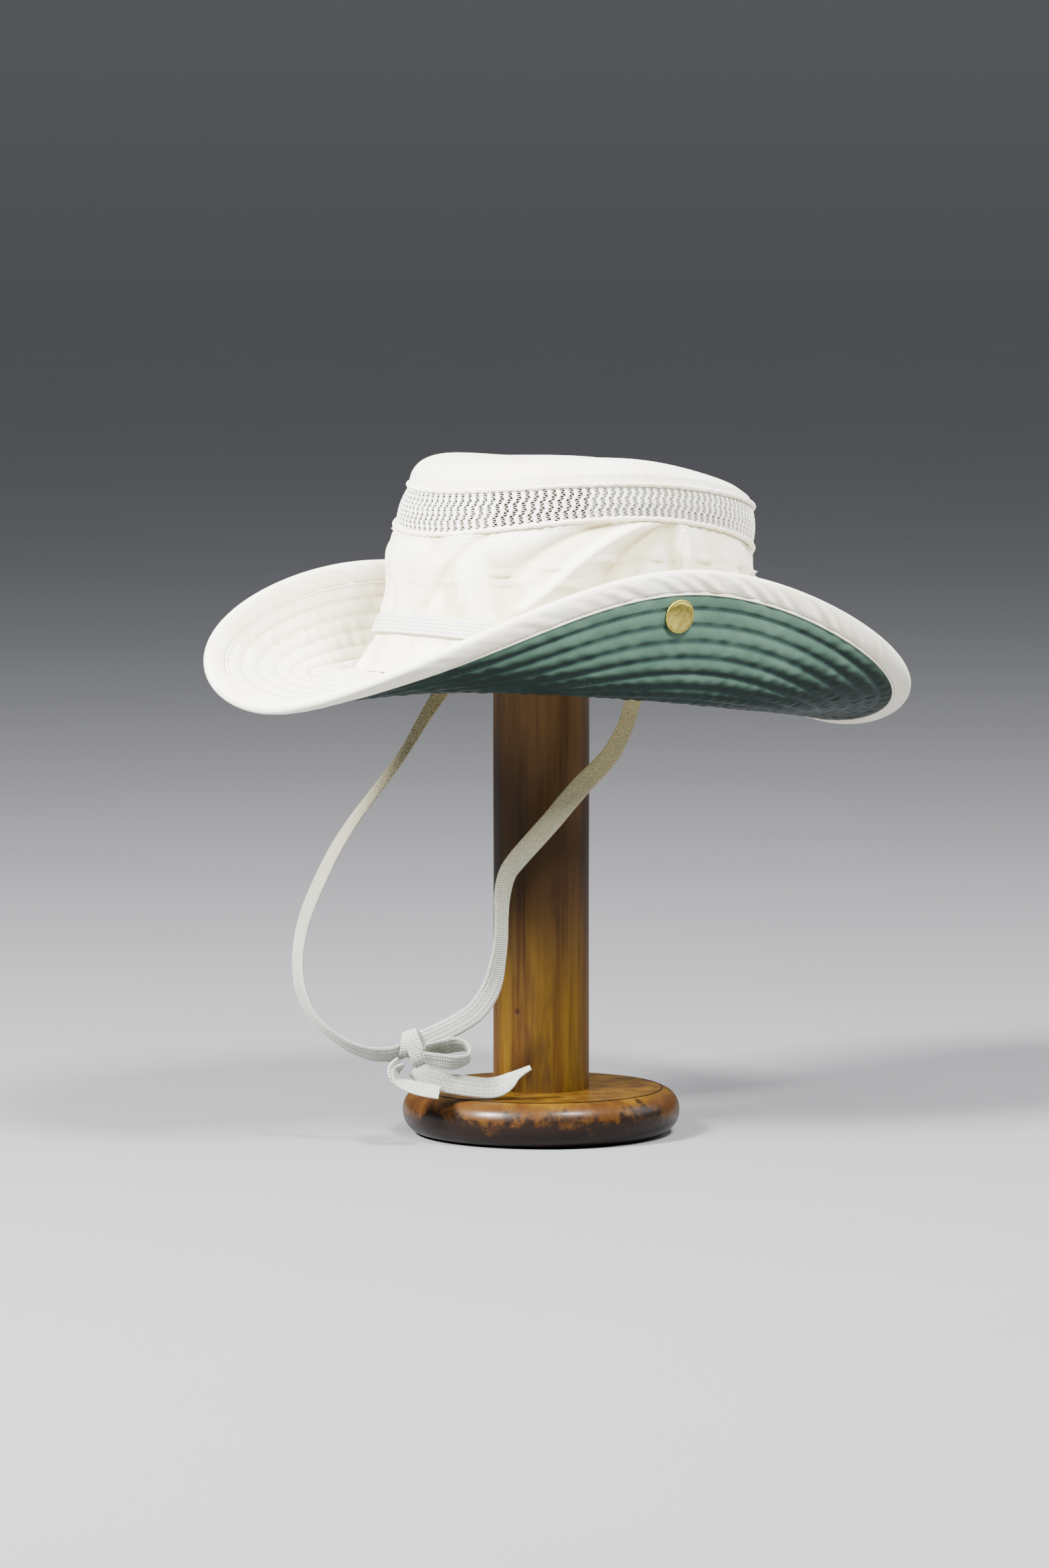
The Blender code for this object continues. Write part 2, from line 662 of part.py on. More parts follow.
def make_band():
    """The cord's stretch round the front of the crown, from one eyelet to the other, and in through them."""
    off = CORD_THICK / 2 + BAND_ROOM
    start, end = (math.radians(EYELET_ANGLES[side]) for side in ("near", "far"))
    end -= 2.0 * math.pi
    loops = []

    for i in range(BAND_STEPS + 1):
        share = i / BAND_STEPS
        angle = start + (end - start) * share
        # The band rises from the eyelets to the front, where it lies a little higher up the flare.
        height = EYELET_HEIGHT + BAND_RISE * math.sin(math.pi * share) ** 0.5
        point, level, upward, _ = surface_frame(side_point, angle, height)
        out = level.cross(upward).normalized()
        bunch = min(share, 1.0 - share) * BAND_STEPS
        stand_off = off + max(0.0, 1.0 - bunch / 3.0) * BAND_COMES_DOWN
        share_wide = min(1.0, UNBUNCHED_FROM + bunch * WIDER_A_STEP)
        loops.append(braid_section(point + out * stand_off, upward, out, share_wide))
    for side in EYELET_ANGLES:
        centre, out, level, upward = eyelet_frame(side)
        forward = level if level.y < 0 else -level
        bend = []
        for values in BEND:
            row = dict(zip(BEND_COLUMNS, values))
            thick = (out - forward).normalized() if not bend else -forward
            middle = centre + out * row["out"] + forward * row["forward"]
            bend.append(braid_section(middle, upward, thick, BUNCHED))
        loops = bend[::-1] + loops[1:] if side == "near" else loops[:-1] + bend
    return swept_solid("cord_band", loops, "cord")


def make_knot():
    across, away, up = KNOT_MIDDLE
    turns = [2.0 * math.pi * i / KNOT_SIDES for i in range(KNOT_SIDES)]
    loops = []
    for values in KNOT_SECTIONS:
        row = dict(zip(KNOT_COLUMNS, values))
        height = up + row["height_share"] * KNOT_HALF_HEIGHT
        wide, deep = row["half_width"], row["half_depth"]
        loops.append([from_view(across + wide * math.cos(t), away + deep * math.sin(t), height) for t in turns])
    return swept_solid("cord_knot", loops, "cord")


def make_cord():
    make_band()
    braid("cord_near", from_eyelet("near", NEAR_ROUTE), 28, (0.5, 1.0))
    braid("cord_far", from_eyelet("far", FAR_ROUTE), 24, (0.5, 1.0))
    make_knot()
    braid("cord_bow", routed(LOOP_ROUTE), 14)
    braid("cord_tail_long", routed(LONG_TAIL_ROUTE), 14)
    braid("cord_tail_short", routed(SHORT_TAIL_ROUTE), 10)


clear_scene()
make_stand()
crown_side = make_crown()
make_brim()
make_snaps()
make_eyelets(crown_side)
make_cord()
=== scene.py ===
"""The looks of a snap-up sun hat with a vent band and a chin cord, on its turned wooden stand.

Metres, +Z up, as in the model. The hat's front points to -Y and its left side, with the brass snap that shows,
to +X. Angles round the hat start at the front and run by +X to the back.
"""

import json
import math

import bmesh
import bpy
import numpy as np
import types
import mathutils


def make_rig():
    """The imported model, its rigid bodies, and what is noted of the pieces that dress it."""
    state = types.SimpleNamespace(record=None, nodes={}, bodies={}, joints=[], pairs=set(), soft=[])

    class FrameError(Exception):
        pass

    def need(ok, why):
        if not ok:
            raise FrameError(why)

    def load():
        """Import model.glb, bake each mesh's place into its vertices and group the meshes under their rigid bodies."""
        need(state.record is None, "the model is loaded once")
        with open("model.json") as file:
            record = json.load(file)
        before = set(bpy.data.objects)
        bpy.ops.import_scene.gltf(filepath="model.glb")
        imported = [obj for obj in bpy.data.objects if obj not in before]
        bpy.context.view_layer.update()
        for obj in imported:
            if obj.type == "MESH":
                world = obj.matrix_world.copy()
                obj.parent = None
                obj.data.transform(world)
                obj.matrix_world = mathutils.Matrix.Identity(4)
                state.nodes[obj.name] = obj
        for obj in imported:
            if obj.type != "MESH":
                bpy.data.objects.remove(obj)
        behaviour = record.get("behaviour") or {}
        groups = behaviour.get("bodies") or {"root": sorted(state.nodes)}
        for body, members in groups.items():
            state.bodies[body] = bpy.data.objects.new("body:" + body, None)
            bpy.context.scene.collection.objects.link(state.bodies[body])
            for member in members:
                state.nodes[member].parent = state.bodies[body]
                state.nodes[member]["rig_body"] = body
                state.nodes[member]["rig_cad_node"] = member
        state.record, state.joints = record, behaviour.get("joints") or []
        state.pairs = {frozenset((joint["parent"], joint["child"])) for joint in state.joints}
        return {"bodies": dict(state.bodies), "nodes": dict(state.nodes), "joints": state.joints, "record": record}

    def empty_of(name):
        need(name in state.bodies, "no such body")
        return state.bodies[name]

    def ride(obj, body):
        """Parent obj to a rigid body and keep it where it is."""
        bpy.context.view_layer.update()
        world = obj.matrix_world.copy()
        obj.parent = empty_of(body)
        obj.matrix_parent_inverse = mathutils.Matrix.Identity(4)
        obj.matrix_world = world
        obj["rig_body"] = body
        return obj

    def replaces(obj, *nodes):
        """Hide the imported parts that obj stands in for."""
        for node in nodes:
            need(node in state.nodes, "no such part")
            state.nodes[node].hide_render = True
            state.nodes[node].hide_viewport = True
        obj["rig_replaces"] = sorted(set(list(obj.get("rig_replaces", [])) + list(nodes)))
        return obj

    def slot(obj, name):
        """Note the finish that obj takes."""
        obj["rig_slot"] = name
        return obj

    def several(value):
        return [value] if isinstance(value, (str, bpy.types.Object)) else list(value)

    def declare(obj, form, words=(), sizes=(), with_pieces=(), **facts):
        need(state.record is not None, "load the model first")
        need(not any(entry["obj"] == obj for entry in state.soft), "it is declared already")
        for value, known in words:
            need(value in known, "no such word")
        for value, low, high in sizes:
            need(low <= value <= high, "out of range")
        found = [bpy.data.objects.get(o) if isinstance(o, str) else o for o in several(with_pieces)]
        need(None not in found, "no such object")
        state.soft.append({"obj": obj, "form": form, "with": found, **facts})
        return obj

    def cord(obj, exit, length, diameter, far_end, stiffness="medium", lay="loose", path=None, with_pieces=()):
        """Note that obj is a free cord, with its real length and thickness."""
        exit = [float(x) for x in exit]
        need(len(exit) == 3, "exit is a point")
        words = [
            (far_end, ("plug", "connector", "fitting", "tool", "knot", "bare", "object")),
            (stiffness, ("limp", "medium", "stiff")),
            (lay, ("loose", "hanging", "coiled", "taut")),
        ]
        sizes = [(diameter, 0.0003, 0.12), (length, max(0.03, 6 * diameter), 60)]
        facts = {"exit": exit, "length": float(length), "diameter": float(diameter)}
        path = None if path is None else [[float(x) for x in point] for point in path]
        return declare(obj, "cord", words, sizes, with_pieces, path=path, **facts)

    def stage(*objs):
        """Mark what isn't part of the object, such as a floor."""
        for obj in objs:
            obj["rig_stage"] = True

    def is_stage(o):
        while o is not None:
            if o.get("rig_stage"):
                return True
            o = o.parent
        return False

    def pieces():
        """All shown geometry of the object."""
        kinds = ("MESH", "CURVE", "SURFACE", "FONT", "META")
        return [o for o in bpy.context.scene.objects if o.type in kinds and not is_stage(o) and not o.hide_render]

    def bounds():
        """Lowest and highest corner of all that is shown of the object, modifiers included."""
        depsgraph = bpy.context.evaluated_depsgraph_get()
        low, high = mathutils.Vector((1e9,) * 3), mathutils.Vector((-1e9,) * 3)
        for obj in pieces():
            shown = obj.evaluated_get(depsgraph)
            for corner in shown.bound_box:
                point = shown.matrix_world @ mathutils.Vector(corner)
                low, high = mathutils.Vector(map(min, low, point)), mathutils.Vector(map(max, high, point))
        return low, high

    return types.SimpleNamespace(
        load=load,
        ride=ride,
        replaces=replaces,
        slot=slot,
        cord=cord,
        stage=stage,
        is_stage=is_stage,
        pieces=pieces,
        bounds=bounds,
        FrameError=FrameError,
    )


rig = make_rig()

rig.load()
cad_box = [list(corner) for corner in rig.bounds()]

# The eye stands about three metres off and a little above the crown, and sees the hat from its left front.
# Places can be given as that eye sees them: across the picture, away from the eye, and up, in millimetres.
MM = 0.001
VIEW_TURN = math.radians(52.0)
EYE_DISTANCE = 3.0
EYE_ASIDE = -7.75 * MM
EYE_HEIGHT = 0.416
EYE_DROP = math.radians(4.83)
EYE_LENS = 149.0


def from_view(across, away, up):
    cosine, sine = math.cos(VIEW_TURN), math.sin(VIEW_TURN)
    return MM * np.array((across * cosine - away * sine, across * sine + away * cosine, up))


eye = bpy.data.cameras.new("eye")
eye.sensor_fit = "VERTICAL"
eye.sensor_height = 36.0
eye.lens = EYE_LENS
camera = bpy.data.objects.new("eye", eye)
camera.location = from_view(EYE_ASIDE / MM, -EYE_DISTANCE / MM, EYE_HEIGHT / MM)
camera.rotation_euler = (math.pi / 2 - EYE_DROP, 0.0, VIEW_TURN)
bpy.context.scene.collection.objects.link(camera)
bpy.context.scene.camera = camera

# The chin cord is one flat cotton braid of five ribs. It lies round the front of the crown, goes in through the
# two eyelets and hangs down inside to a bow, so its route follows the hat's rings, which come first.

# Each ring is an oval, and they run from the brim's edge to the tip: half length along Y, half width along X, the
# middle's Y, the heights of front, side and back, all in millimetres, and how square the oval is.
RING_COLUMNS = ("length", "width", "middle", "front", "side", "back", "square")
RINGS = {
    "edge": (176.5, 104.5, 12.6, 207.0, 260.5, 181.0, 2.6),
    "turn": (139.0, 100.0, 14.0, 213.0, 203.5, 190.5, 2.3),
    "root": (104.0, 82.0, 14.8, 216.0, 206.0, 194.0, 2.1),
    "flare": (93.0, 74.5, 16.0, 238.0, 228.0, 218.0, 2.1),
    "waist": (89.0, 71.0, 17.7, 251.0, 249.0, 236.0, 2.15),
    "upper": (90.0, 69.5, 17.5, 268.0, 274.0, 252.0, 2.2),
    "mesh_seam": (87.2, 67.5, 19.8, 280.5, 286.8, 264.5, 2.25),
    "tip_seam": (84.2, 66.0, 24.0, 299.9, 302.2, 285.5, 2.2),
    "shoulder": (80.5, 63.0, 22.8, 308.0, 308.6, 291.8, 2.2),
    "crease": (72.5, 57.0, 21.0, 312.3, 312.0, 298.0, 2.15),
    "plateau": (50.0, 42.0, 13.0, 313.9, 313.8, 307.5, 2.1),
    "post_top": (24.0, 24.0, 0.0, 314.4, 314.4, 313.8, 2.0),
}
SIDE_RINGS = ("root", "flare", "waist", "upper", "mesh_seam")
EYELET_ANGLES = {"near": 90.0, "far": 270.0}
EYELET_HEIGHT = 0.20
CLOTH = 1.2 * MM
BRAID_WIDTH = 9.5 * MM
BRAID_THICK = 1.8 * MM
BRAID_RIBS = 5
BRAID_POINTS = 60
PLAIT_PITCH = 1.05 * MM
BAND_RISE = 0.065
BAND_ROOM = 0.9 * MM

# Main folds of the crown side: angle and height share at the lower and the upper end, half width in degrees,
# and how far it stands out in millimetres.
FOLDS = (
    (62.0, 0.62, 84.0, 0.93, 5.0, 2.6),
    (106.0, 0.58, 100.0, 0.92, 4.0, 2.2),
    (94.0, 0.50, 93.0, 0.90, 3.5, -1.6),
    (6.0, 0.30, 12.0, 0.75, 5.0, 1.8),
    (18.0, 0.28, 17.0, 0.70, 5.0, -1.8),
    (29.0, 0.30, 25.0, 0.72, 6.0, 2.0),
    (40.0, 0.25, 38.0, 0.62, 5.0, -1.6),
    (150.0, 0.25, 156.0, 0.80, 7.0, 1.8),
    (205.0, 0.25, 212.0, 0.75, 7.0, -1.6),
    (262.0, 0.45, 270.0, 0.92, 6.0, 1.8),
    (325.0, 0.25, 318.0, 0.80, 7.0, 1.6),
)

# The cord's hanging stretches, as the eye sees them: across, away, up, and the turn of the braid's width, where
# 0 degrees lies across the picture and 90 points away from the eye.
CORD_ROUTES = {
    "near": (
        (51.5, -41.0, 218.0, 50.0),
        (42.7, -38.5, 205.0, 40.0),
        (38.4, -38.5, 192.2, 37.0),
        (31.0, -39.5, 178.5, 24.0),
        (19.2, -41.0, 166.1, 8.0),
        (11.9, -42.0, 157.9, 5.0),
        (5.3, -43.0, 150.0, 5.0),
        (-3.6, -43.8, 140.0, 8.0),
        (-11.4, -44.0, 131.1, 15.0),
        (-15.8, -43.8, 124.4, 28.0),
        (-17.8, -43.3, 115.6, 38.0),
        (-18.3, -43.0, 105.6, 48.0),
        (-18.6, -43.0, 94.5, 48.0),
        (-20.0, -43.2, 84.5, 40.0),
        (-21.9, -43.5, 75.6, 25.0),
        (-25.3, -43.4, 67.8, 8.0),
        (-30.3, -42.8, 61.1, 2.0),
        (-38.0, -42.0, 55.8, 0.0),
        (-46.9, -42.0, 51.2, 0.0),
        (-52.9, -42.8, 48.6, 0.0),
    ),
    "far": (
        (-38.5, 61.0, 214.0, -40.0),
        (-48.0, 58.5, 200.1, -48.0),
        (-55.2, 53.0, 189.0, -58.0),
        (-63.2, 46.5, 175.7, -66.0),
        (-71.1, 39.5, 164.8, -66.0),
        (-80.0, 31.0, 153.5, -66.0),
        (-87.8, 22.5, 143.4, -62.0),
        (-96.1, 12.0, 130.7, -57.0),
        (-103.1, 1.0, 116.9, -54.0),
        (-108.0, -8.0, 105.4, -54.0),
        (-111.1, -15.5, 94.8, -56.0),
        (-112.4, -21.5, 84.2, -57.0),
        (-111.9, -26.0, 74.5, -57.0),
        (-109.6, -30.0, 66.0, -57.0),
        (-105.0, -34.0, 58.0, -61.0),
        (-97.6, -38.0, 51.2, -62.0),
        (-88.6, -40.5, 45.3, -56.0),
        (-78.5, -42.0, 41.8, -44.0),
        (-70.5, -43.0, 41.6, -38.0),
        (-66.6, -43.4, 42.2, -36.0),
    ),
    "bow": (
        (-53.5, -48.9, 44.4, -50.0),
        (-45.5, -47.4, 45.6, -38.0),
        (-39.4, -46.6, 46.6, -36.0),
        (-34.6, -47.6, 46.0, -60.0),
        (-32.6, -50.4, 43.4, -90.0),
        (-34.2, -53.2, 40.6, -118.0),
        (-39.4, -54.2, 39.4, -140.0),
        (-45.5, -53.6, 39.8, -142.0),
        (-53.2, -51.0, 41.0, -130.0),
    ),
    "tail_long": (
        (-58.0, -45.3, 35.6, 0.0),
        (-52.8, -47.5, 32.0, 0.0),
        (-45.5, -48.5, 29.8, 0.0),
        (-33.3, -48.5, 27.6, 0.0),
        (-23.5, -48.0, 26.7, 5.0),
        (-17.4, -47.5, 28.4, 30.0),
        (-11.3, -47.0, 32.6, 65.0),
        (-4.9, -46.5, 36.0, 75.0),
    ),
    "tail_short": (
        (-63.4, -48.6, 37.4, 70.0),
        (-66.3, -50.0, 34.6, 70.0),
        (-65.3, -51.8, 30.8, 68.0),
        (-60.5, -53.4, 28.4, 62.0),
        (-54.1, -54.0, 26.8, 57.0),
        (-46.7, -54.0, 25.4, 54.0),
    ),
}

# Inside the knot the two strands run on to these places.
KNOT_ENDS = {"near": (-57.6, -43.6, 46.6, 0.0), "far": (-61.0, -43.8, 44.6, -36.0)}

# The lump inside the knot: its middle as the eye sees it, and half its width, depth and height.
KNOT_MIDDLE = (-59.4, -44.0, 45.0)
KNOT_HALVES = (5.2, 3.4, 5.9)

# The short end is doubled: this is the fold of it that shows behind, at the lower left of the knot.
FOLD_ROUTE = (
    (-64.8, -46.2, 39.0, 35.0),
    (-67.8, -46.9, 36.0, 25.0),
    (-67.4, -47.6, 32.0, 20.0),
    (-63.2, -48.6, 28.2, 20.0),
)


def unit(vectors):
    return vectors / np.maximum(np.linalg.norm(vectors, axis=-1, keepdims=True), 1e-12)


def ring(name, angle):
    """Points at angles on one of the hat's rings. The brim's worn edge has waves in its height and reach."""
    row = dict(zip(RING_COLUMNS, RINGS[name]))
    sine, cosine = np.sin(angle), np.cos(angle)
    reach = (np.abs(sine) ** row["square"] + np.abs(cosine) ** row["square"]) ** (-1.0 / row["square"])
    ends = (row["front"] + row["back"]) / 2.0
    height = (ends + row["side"]) / 2.0 + (ends - row["side"]) / 2.0 * np.cos(2.0 * angle)
    height = height + (row["front"] - row["back"]) / 2.0 * cosine
    if name == "edge":
        reach = reach * (1.0 + 0.025 * np.cos(3.0 * angle))
        height = height - 3.4 * np.sin(2.0 * angle) - 2.1 * np.cos(3.0 * angle) - 2.5 * np.sin(3.0 * angle)
        height = height + 1.4 * np.cos(4.0 * angle)
    x = row["width"] * sine * reach
    y = row["middle"] - row["length"] * cosine * reach
    return MM * np.stack((x, y, height), axis=-1)


def smooth_way(rows, share):
    """Points at shares of the way along the smooth curves through rows of points."""
    rows = np.asarray(rows, float)
    rows = rows.reshape(len(rows), *[1] * (share.ndim + 2 - rows.ndim), *rows.shape[1:])
    rows = np.broadcast_to(rows, (len(rows), *share.shape, rows.shape[-1]))
    place = np.clip(share, 0.0, 1.0) * (len(rows) - 1)
    start = np.minimum(place.astype(int), len(rows) - 2)
    t = (place - start)[..., None]
    p0, p1, p2, p3 = (
        np.take_along_axis(rows, np.clip(start + k, 0, len(rows) - 1)[None, ..., None], axis=0)[0]
        for k in (-1, 0, 1, 2)
    )
    curve = 2.0 * p1 + (p2 - p0) * t + (2.0 * p0 - 5.0 * p1 + 4.0 * p2 - p3) * t**2
    return 0.5 * (curve + (3.0 * (p1 - p2) + p3 - p0) * t**3)


def fold_relief(folds, angle, height, roundness=2.0, fade=0.03):
    """How far folds move the crown side out, in millimetres. A low roundness makes their crests sharp.

    A fold is at half its strength at its ends, so two that meet there run on as one.
    """
    degrees = np.degrees(angle) % 360.0
    push = np.zeros_like(degrees)
    for low_angle, low, high_angle, high, spread, out in folds:
        share = (height - low) / (high - low)
        middle = low_angle + (high_angle - low_angle) * np.clip(share, -0.6, 1.6)
        beside = (degrees - middle + 180.0) % 360.0 - 180.0
        inside = np.minimum(height - low, high - height)
        push += out * np.exp(-(np.abs(beside / spread) ** roundness)) / (1.0 + np.exp(-inside / fade))
    return push * np.minimum(1.0, np.minimum(height * 8.0, (1.0 - height) * 12.0))


def outwards(angle):
    return np.stack((np.sin(angle), -np.cos(angle), np.zeros_like(angle)), axis=-1)


def bare_wall(angle, height):
    """The crown side without its folds, from the brim seam at height 0 to the vent band's lower seam at 1."""
    return smooth_way([ring(name, angle) for name in SIDE_RINGS], height)


def side_wall(angle, height):
    return bare_wall(angle, height) + outwards(angle) * fold_relief(FOLDS, angle, height)[..., None] * MM


def band_height(angle):
    """The height share at which the cord lies round the crown: it rises a little to the front."""
    return EYELET_HEIGHT + BAND_RISE * np.sqrt(np.maximum(np.cos(angle), 0.0))


def ways_on(surface, angle, share, step=0.01):
    """Points of a surface, and its directions round the hat and up its share there."""
    round_way = surface(angle + step, share) - surface(angle - step, share)
    low, high = np.maximum(share - step, 0.0), np.minimum(share + step, 1.0)
    return surface(angle, share), unit(round_way), unit(surface(angle, high) - surface(angle, low))


def braid_outline():
    """The flat braid's section as (across, thick) points, with its ribs on both faces."""
    turn = 2.0 * np.pi * np.arange(BRAID_POINTS) / BRAID_POINTS
    across = np.sign(np.cos(turn)) * np.abs(np.cos(turn)) ** 0.75
    body = (1.0 - np.abs(across) ** 4) ** 0.5
    rib = np.abs(np.sin(np.pi * (across + 1.0) / 2.0 * BRAID_RIBS)) ** 0.6
    thick = np.sign(np.sin(turn)) * body * (0.72 + 0.28 * rib)
    return np.stack((across * BRAID_WIDTH / 2, thick * BRAID_THICK / 2), axis=-1)


def strip_rings(path, wide_way, width_share=1.0, ahead=None):
    """Rings of points for a braid swept along a path, with its width lying along wide_way."""
    outline = braid_outline()[None]
    ahead = unit(np.gradient(path, axis=0)) if ahead is None else ahead
    wide_way = unit(wide_way - ahead * np.sum(wide_way * ahead, axis=-1, keepdims=True))
    across = outline[..., :1] * np.broadcast_to(width_share, len(path))[:, None, None]
    thick_way = np.cross(ahead, wide_way)
    return path[:, None] + across * wide_way[:, None] + outline[..., 1:] * thick_way[:, None]


def running(steps):
    return np.concatenate(([0.0], np.cumsum(steps)))


def way_gone(line):
    """The length of the way from a line's first point to each of its points."""
    return running(np.linalg.norm(np.diff(line, axis=0), axis=-1))


def grid(first, second):
    return np.meshgrid(first, second, indexing="ij")


def placed(name, mesh, finish=None):
    if finish:
        mesh.materials.append(finish)
    made = bpy.data.objects.new(name, mesh)
    bpy.context.scene.collection.objects.link(made)
    return made


def skin(name, rings, finish, round_closed=False):
    """A closed mesh object through rings of points, with a UV map in metres: U along the rings, V round one."""
    count, size = rings.shape[:2]
    row, column = grid(np.arange(count if round_closed else count - 1), np.arange(size))
    ahead = (row[..., None] + (0, 0, 1, 1)).reshape(-1, 4)
    around = (column[..., None] + (0, 1, 1, 0)).reshape(-1, 4)
    quads = ahead % count * size + around % size
    u = running(np.linalg.norm(np.roll(rings, -1, axis=0) - rings, axis=-1).mean(axis=1))
    v = running(np.linalg.norm(np.roll(rings, -1, axis=1) - rings, axis=-1)[count // 2])
    corners = np.stack((u[ahead], v[around]), axis=-1)
    points = rings.reshape(-1, 3)
    a, b, c, d = (points[quads[:, i]] for i in range(4))
    inside_out = np.sum(a * np.cross(b, c) + a * np.cross(c, d)) < 0.0
    if inside_out:
        quads, corners = quads[:, ::-1], corners[:, ::-1]
    faces, corners = quads.tolist(), corners.reshape(-1, 2)
    if not round_closed:
        rim = np.arange(size)
        for cap, place in ((rim[::-1], 0), (rim + (count - 1) * size, count - 1)):
            cap = cap[::-1] if inside_out else cap
            faces.append(cap.tolist())
            corners = np.concatenate((corners, np.stack((np.full(size, u[place]), v[cap % size]), axis=-1)))
    mesh = bpy.data.meshes.new(name)
    mesh.from_pydata(points.tolist(), [], faces)
    mesh.uv_layers.new(name="metres").data.foreach_set("uv", corners.astype(np.float32).ravel())
    mesh.shade_smooth()
    return placed(name, mesh, finish)


def fitted(piece, slot, node=None):
    """Lets the piece ride on the part's one body, in place of the plain solid that the node names."""
    if node:
        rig.replaces(piece, node)
    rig.slot(piece, slot)
    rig.ride(piece, "root")


class Nodes:
    """A node tree in the making. Each call adds a node and gives its output."""

    def __init__(self, tree):
        self.tree = tree

    def fill(self, node, inputs):
        for key, value in inputs.items():
            if isinstance(value, bpy.types.NodeSocket):
                self.tree.links.new(value, node.inputs[key])
            else:
                node.inputs[key].default_value = value

    def add(self, kind, inputs, output=0, family="ShaderNode", **settings):
        node = self.tree.nodes.new(family + kind)
        for key, value in settings.items():
            setattr(node, key, value)
        self.fill(node, inputs)
        return node.outputs[output]

    def math(self, operation, a, b=0.0):
        return self.add("Math", {0: a, 1: b}, operation=operation)

    def plus(self, a, b):
        return self.math("ADD", a, b)

    def minus(self, a, b):
        return self.math("SUBTRACT", a, b)

    def times(self, a, b):
        return self.math("MULTIPLY", a, b)


class Finish(Nodes):
    """A procedural material in the making."""

    def __init__(self, name):
        self.material = bpy.data.materials.new(name)
        self.material.use_nodes = True
        super().__init__(self.material.node_tree)
        self.shader = self.tree.nodes["Principled BSDF"]

    def place(self, scale=(1.0, 1.0, 1.0), turn=(0.0, 0.0, 0.0)):
        return self.add("Mapping", {"Vector": self.add("TexCoord", {}, "Object"), "Scale": scale, "Rotation": turn})

    def noise(self, vector, scale, detail=3.0, roughness=0.5):
        return self.add("TexNoise", {"Vector": vector, "Scale": scale, "Detail": detail, "Roughness": roughness})

    def between(self, value, low, high, low_out=0.0, high_out=1.0):
        inputs = {"Value": value, "From Min": low, "From Max": high, "To Min": low_out, "To Max": high_out}
        return self.add("MapRange", inputs, interpolation_type="SMOOTHSTEP")

    def blend(self, share, first, second):
        """Mixes two colours. Sockets 6 and 7 of the node are the colours, and output 2 is their mix."""
        first, second = ((*colour, 1.0) if isinstance(colour, tuple) else colour for colour in (first, second))
        return self.add("Mix", {0: share, 6: first, 7: second}, 2, data_type="RGBA")

    def bump(self, height, depth, strength=1.0, under=None):
        inputs = {"Height": height, "Distance": depth, "Strength": strength}
        if under is not None:
            inputs["Normal"] = under
        return self.add("Bump", inputs)

    def done(self, **inputs):
        names = {key.replace("_", " ").title().replace("Ior", "IOR"): value for key, value in inputs.items()}
        self.fill(self.shader, names)
        return self.material


def braid_finish():
    """Off-white cotton: plaited chevrons along each rib, with painted shade between the ribs and stitches. Below the
    band it is painted grey as shade low down, and khaki near the brim, partly wear and partly painted shade.
    """
    f = Finish("cotton braid")
    along = f.add("SeparateXYZ", {"Vector": f.add("TexCoord", {}, "UV")})
    across = along.node.outputs[1]
    rib = f.math("PINGPONG", f.times(across, 2.0 * BRAID_RIBS / BRAID_WIDTH), 1.0)
    plait = f.plus(f.times(along, 1.0 / PLAIT_PITCH), f.times(rib, 0.55))
    stitch = f.math("SINE", f.times(plait, 2.0 * math.pi))
    groove = f.between(rib, 0.70, 1.0)
    rise = f.minus(f.times(f.plus(stitch, 1.0), 0.5), groove)
    fuzz = f.noise(f.place(), 900.0, 4.0, 0.6)
    height = f.plus(rise, f.times(fuzz, 0.5))
    spot = f.place()
    z = f.add("SeparateXYZ", {"Vector": spot}, 2)
    # Yellowed near the brim: partly wear, and partly painted shade that the hat casts on the cord.
    worn = f.between(f.plus(z, f.times(f.noise(spot, 30.0), 0.04)), 0.09, 0.22)
    worn = f.times(worn, f.between(z, 0.208, 0.216, 1.0, 0.0))
    mottle = f.between(fuzz, 0.3, 0.7)
    # Painted shade: below the band the hanging cord is painted grey, where less light reaches it.
    shaded_grey = f.blend(mottle, (0.32, 0.34, 0.29), (0.42, 0.45, 0.40))
    clean = f.blend(mottle, (0.90, 0.90, 0.87), (0.96, 0.96, 0.94))
    yellowed_and_shaded = f.blend(worn, f.blend(f.between(z, 0.208, 0.218), shaded_grey, clean), (0.36, 0.30, 0.11))
    # Painted shade: the low parts of the plaits and the grooves between the ribs are darkened.
    gap = f.times(f.between(stitch, -1.0, -0.2, 1.0, 0.0), 0.35)
    low = f.math("MAXIMUM", gap, f.times(groove, 0.6))
    colour = f.blend(low, yellowed_and_shaded, (0.40, 0.38, 0.27))
    relief = f.bump(height, 0.4 * MM, 0.9)
    return f.done(base_color=colour, roughness=0.82, sheen_weight=0.25, sheen_roughness=0.5, normal=relief)


COTTON_BRAID = braid_finish()


def hung(table, starts, steps, narrow_start=1.0, narrow_end=1.0):
    """The path, width directions and width shares of a hanging stretch. starts are points before the table's."""
    points = list(starts) + [from_view(*row[:3]) for row in table]
    turns = [table[0][3]] * len(starts) + [row[3] for row in table]
    share = np.linspace(0.0, 1.0, steps + 1)
    path = smooth_way(points, share)
    turn = np.radians(smooth_way(np.array(turns)[:, None], share)[:, 0])[:, None]
    ahead = unit(np.gradient(path, axis=0))
    across = unit(np.cross(ahead, from_view(0.0, 1000.0, 0.0)))
    deep = unit(np.cross(across, ahead))
    widths = 1.0 + np.maximum(0.0, 1.0 - share * 8.0) * (narrow_start - 1.0)
    widths += np.maximum(0.0, 1.0 - (1.0 - share) * 5.0) * (narrow_end - 1.0)
    return path, across * np.cos(turn) + deep * np.sin(turn), widths


def eyelet_ways(side):
    """The middle of the crown's wall at an eyelet, and its outward, level and upward directions."""
    angle = np.array(math.radians(EYELET_ANGLES[side]))
    point, level, upward = ways_on(side_wall, angle, np.array(EYELET_HEIGHT))
    out = unit(np.cross(level, upward))
    return point - out * CLOTH / 2, out, level, upward


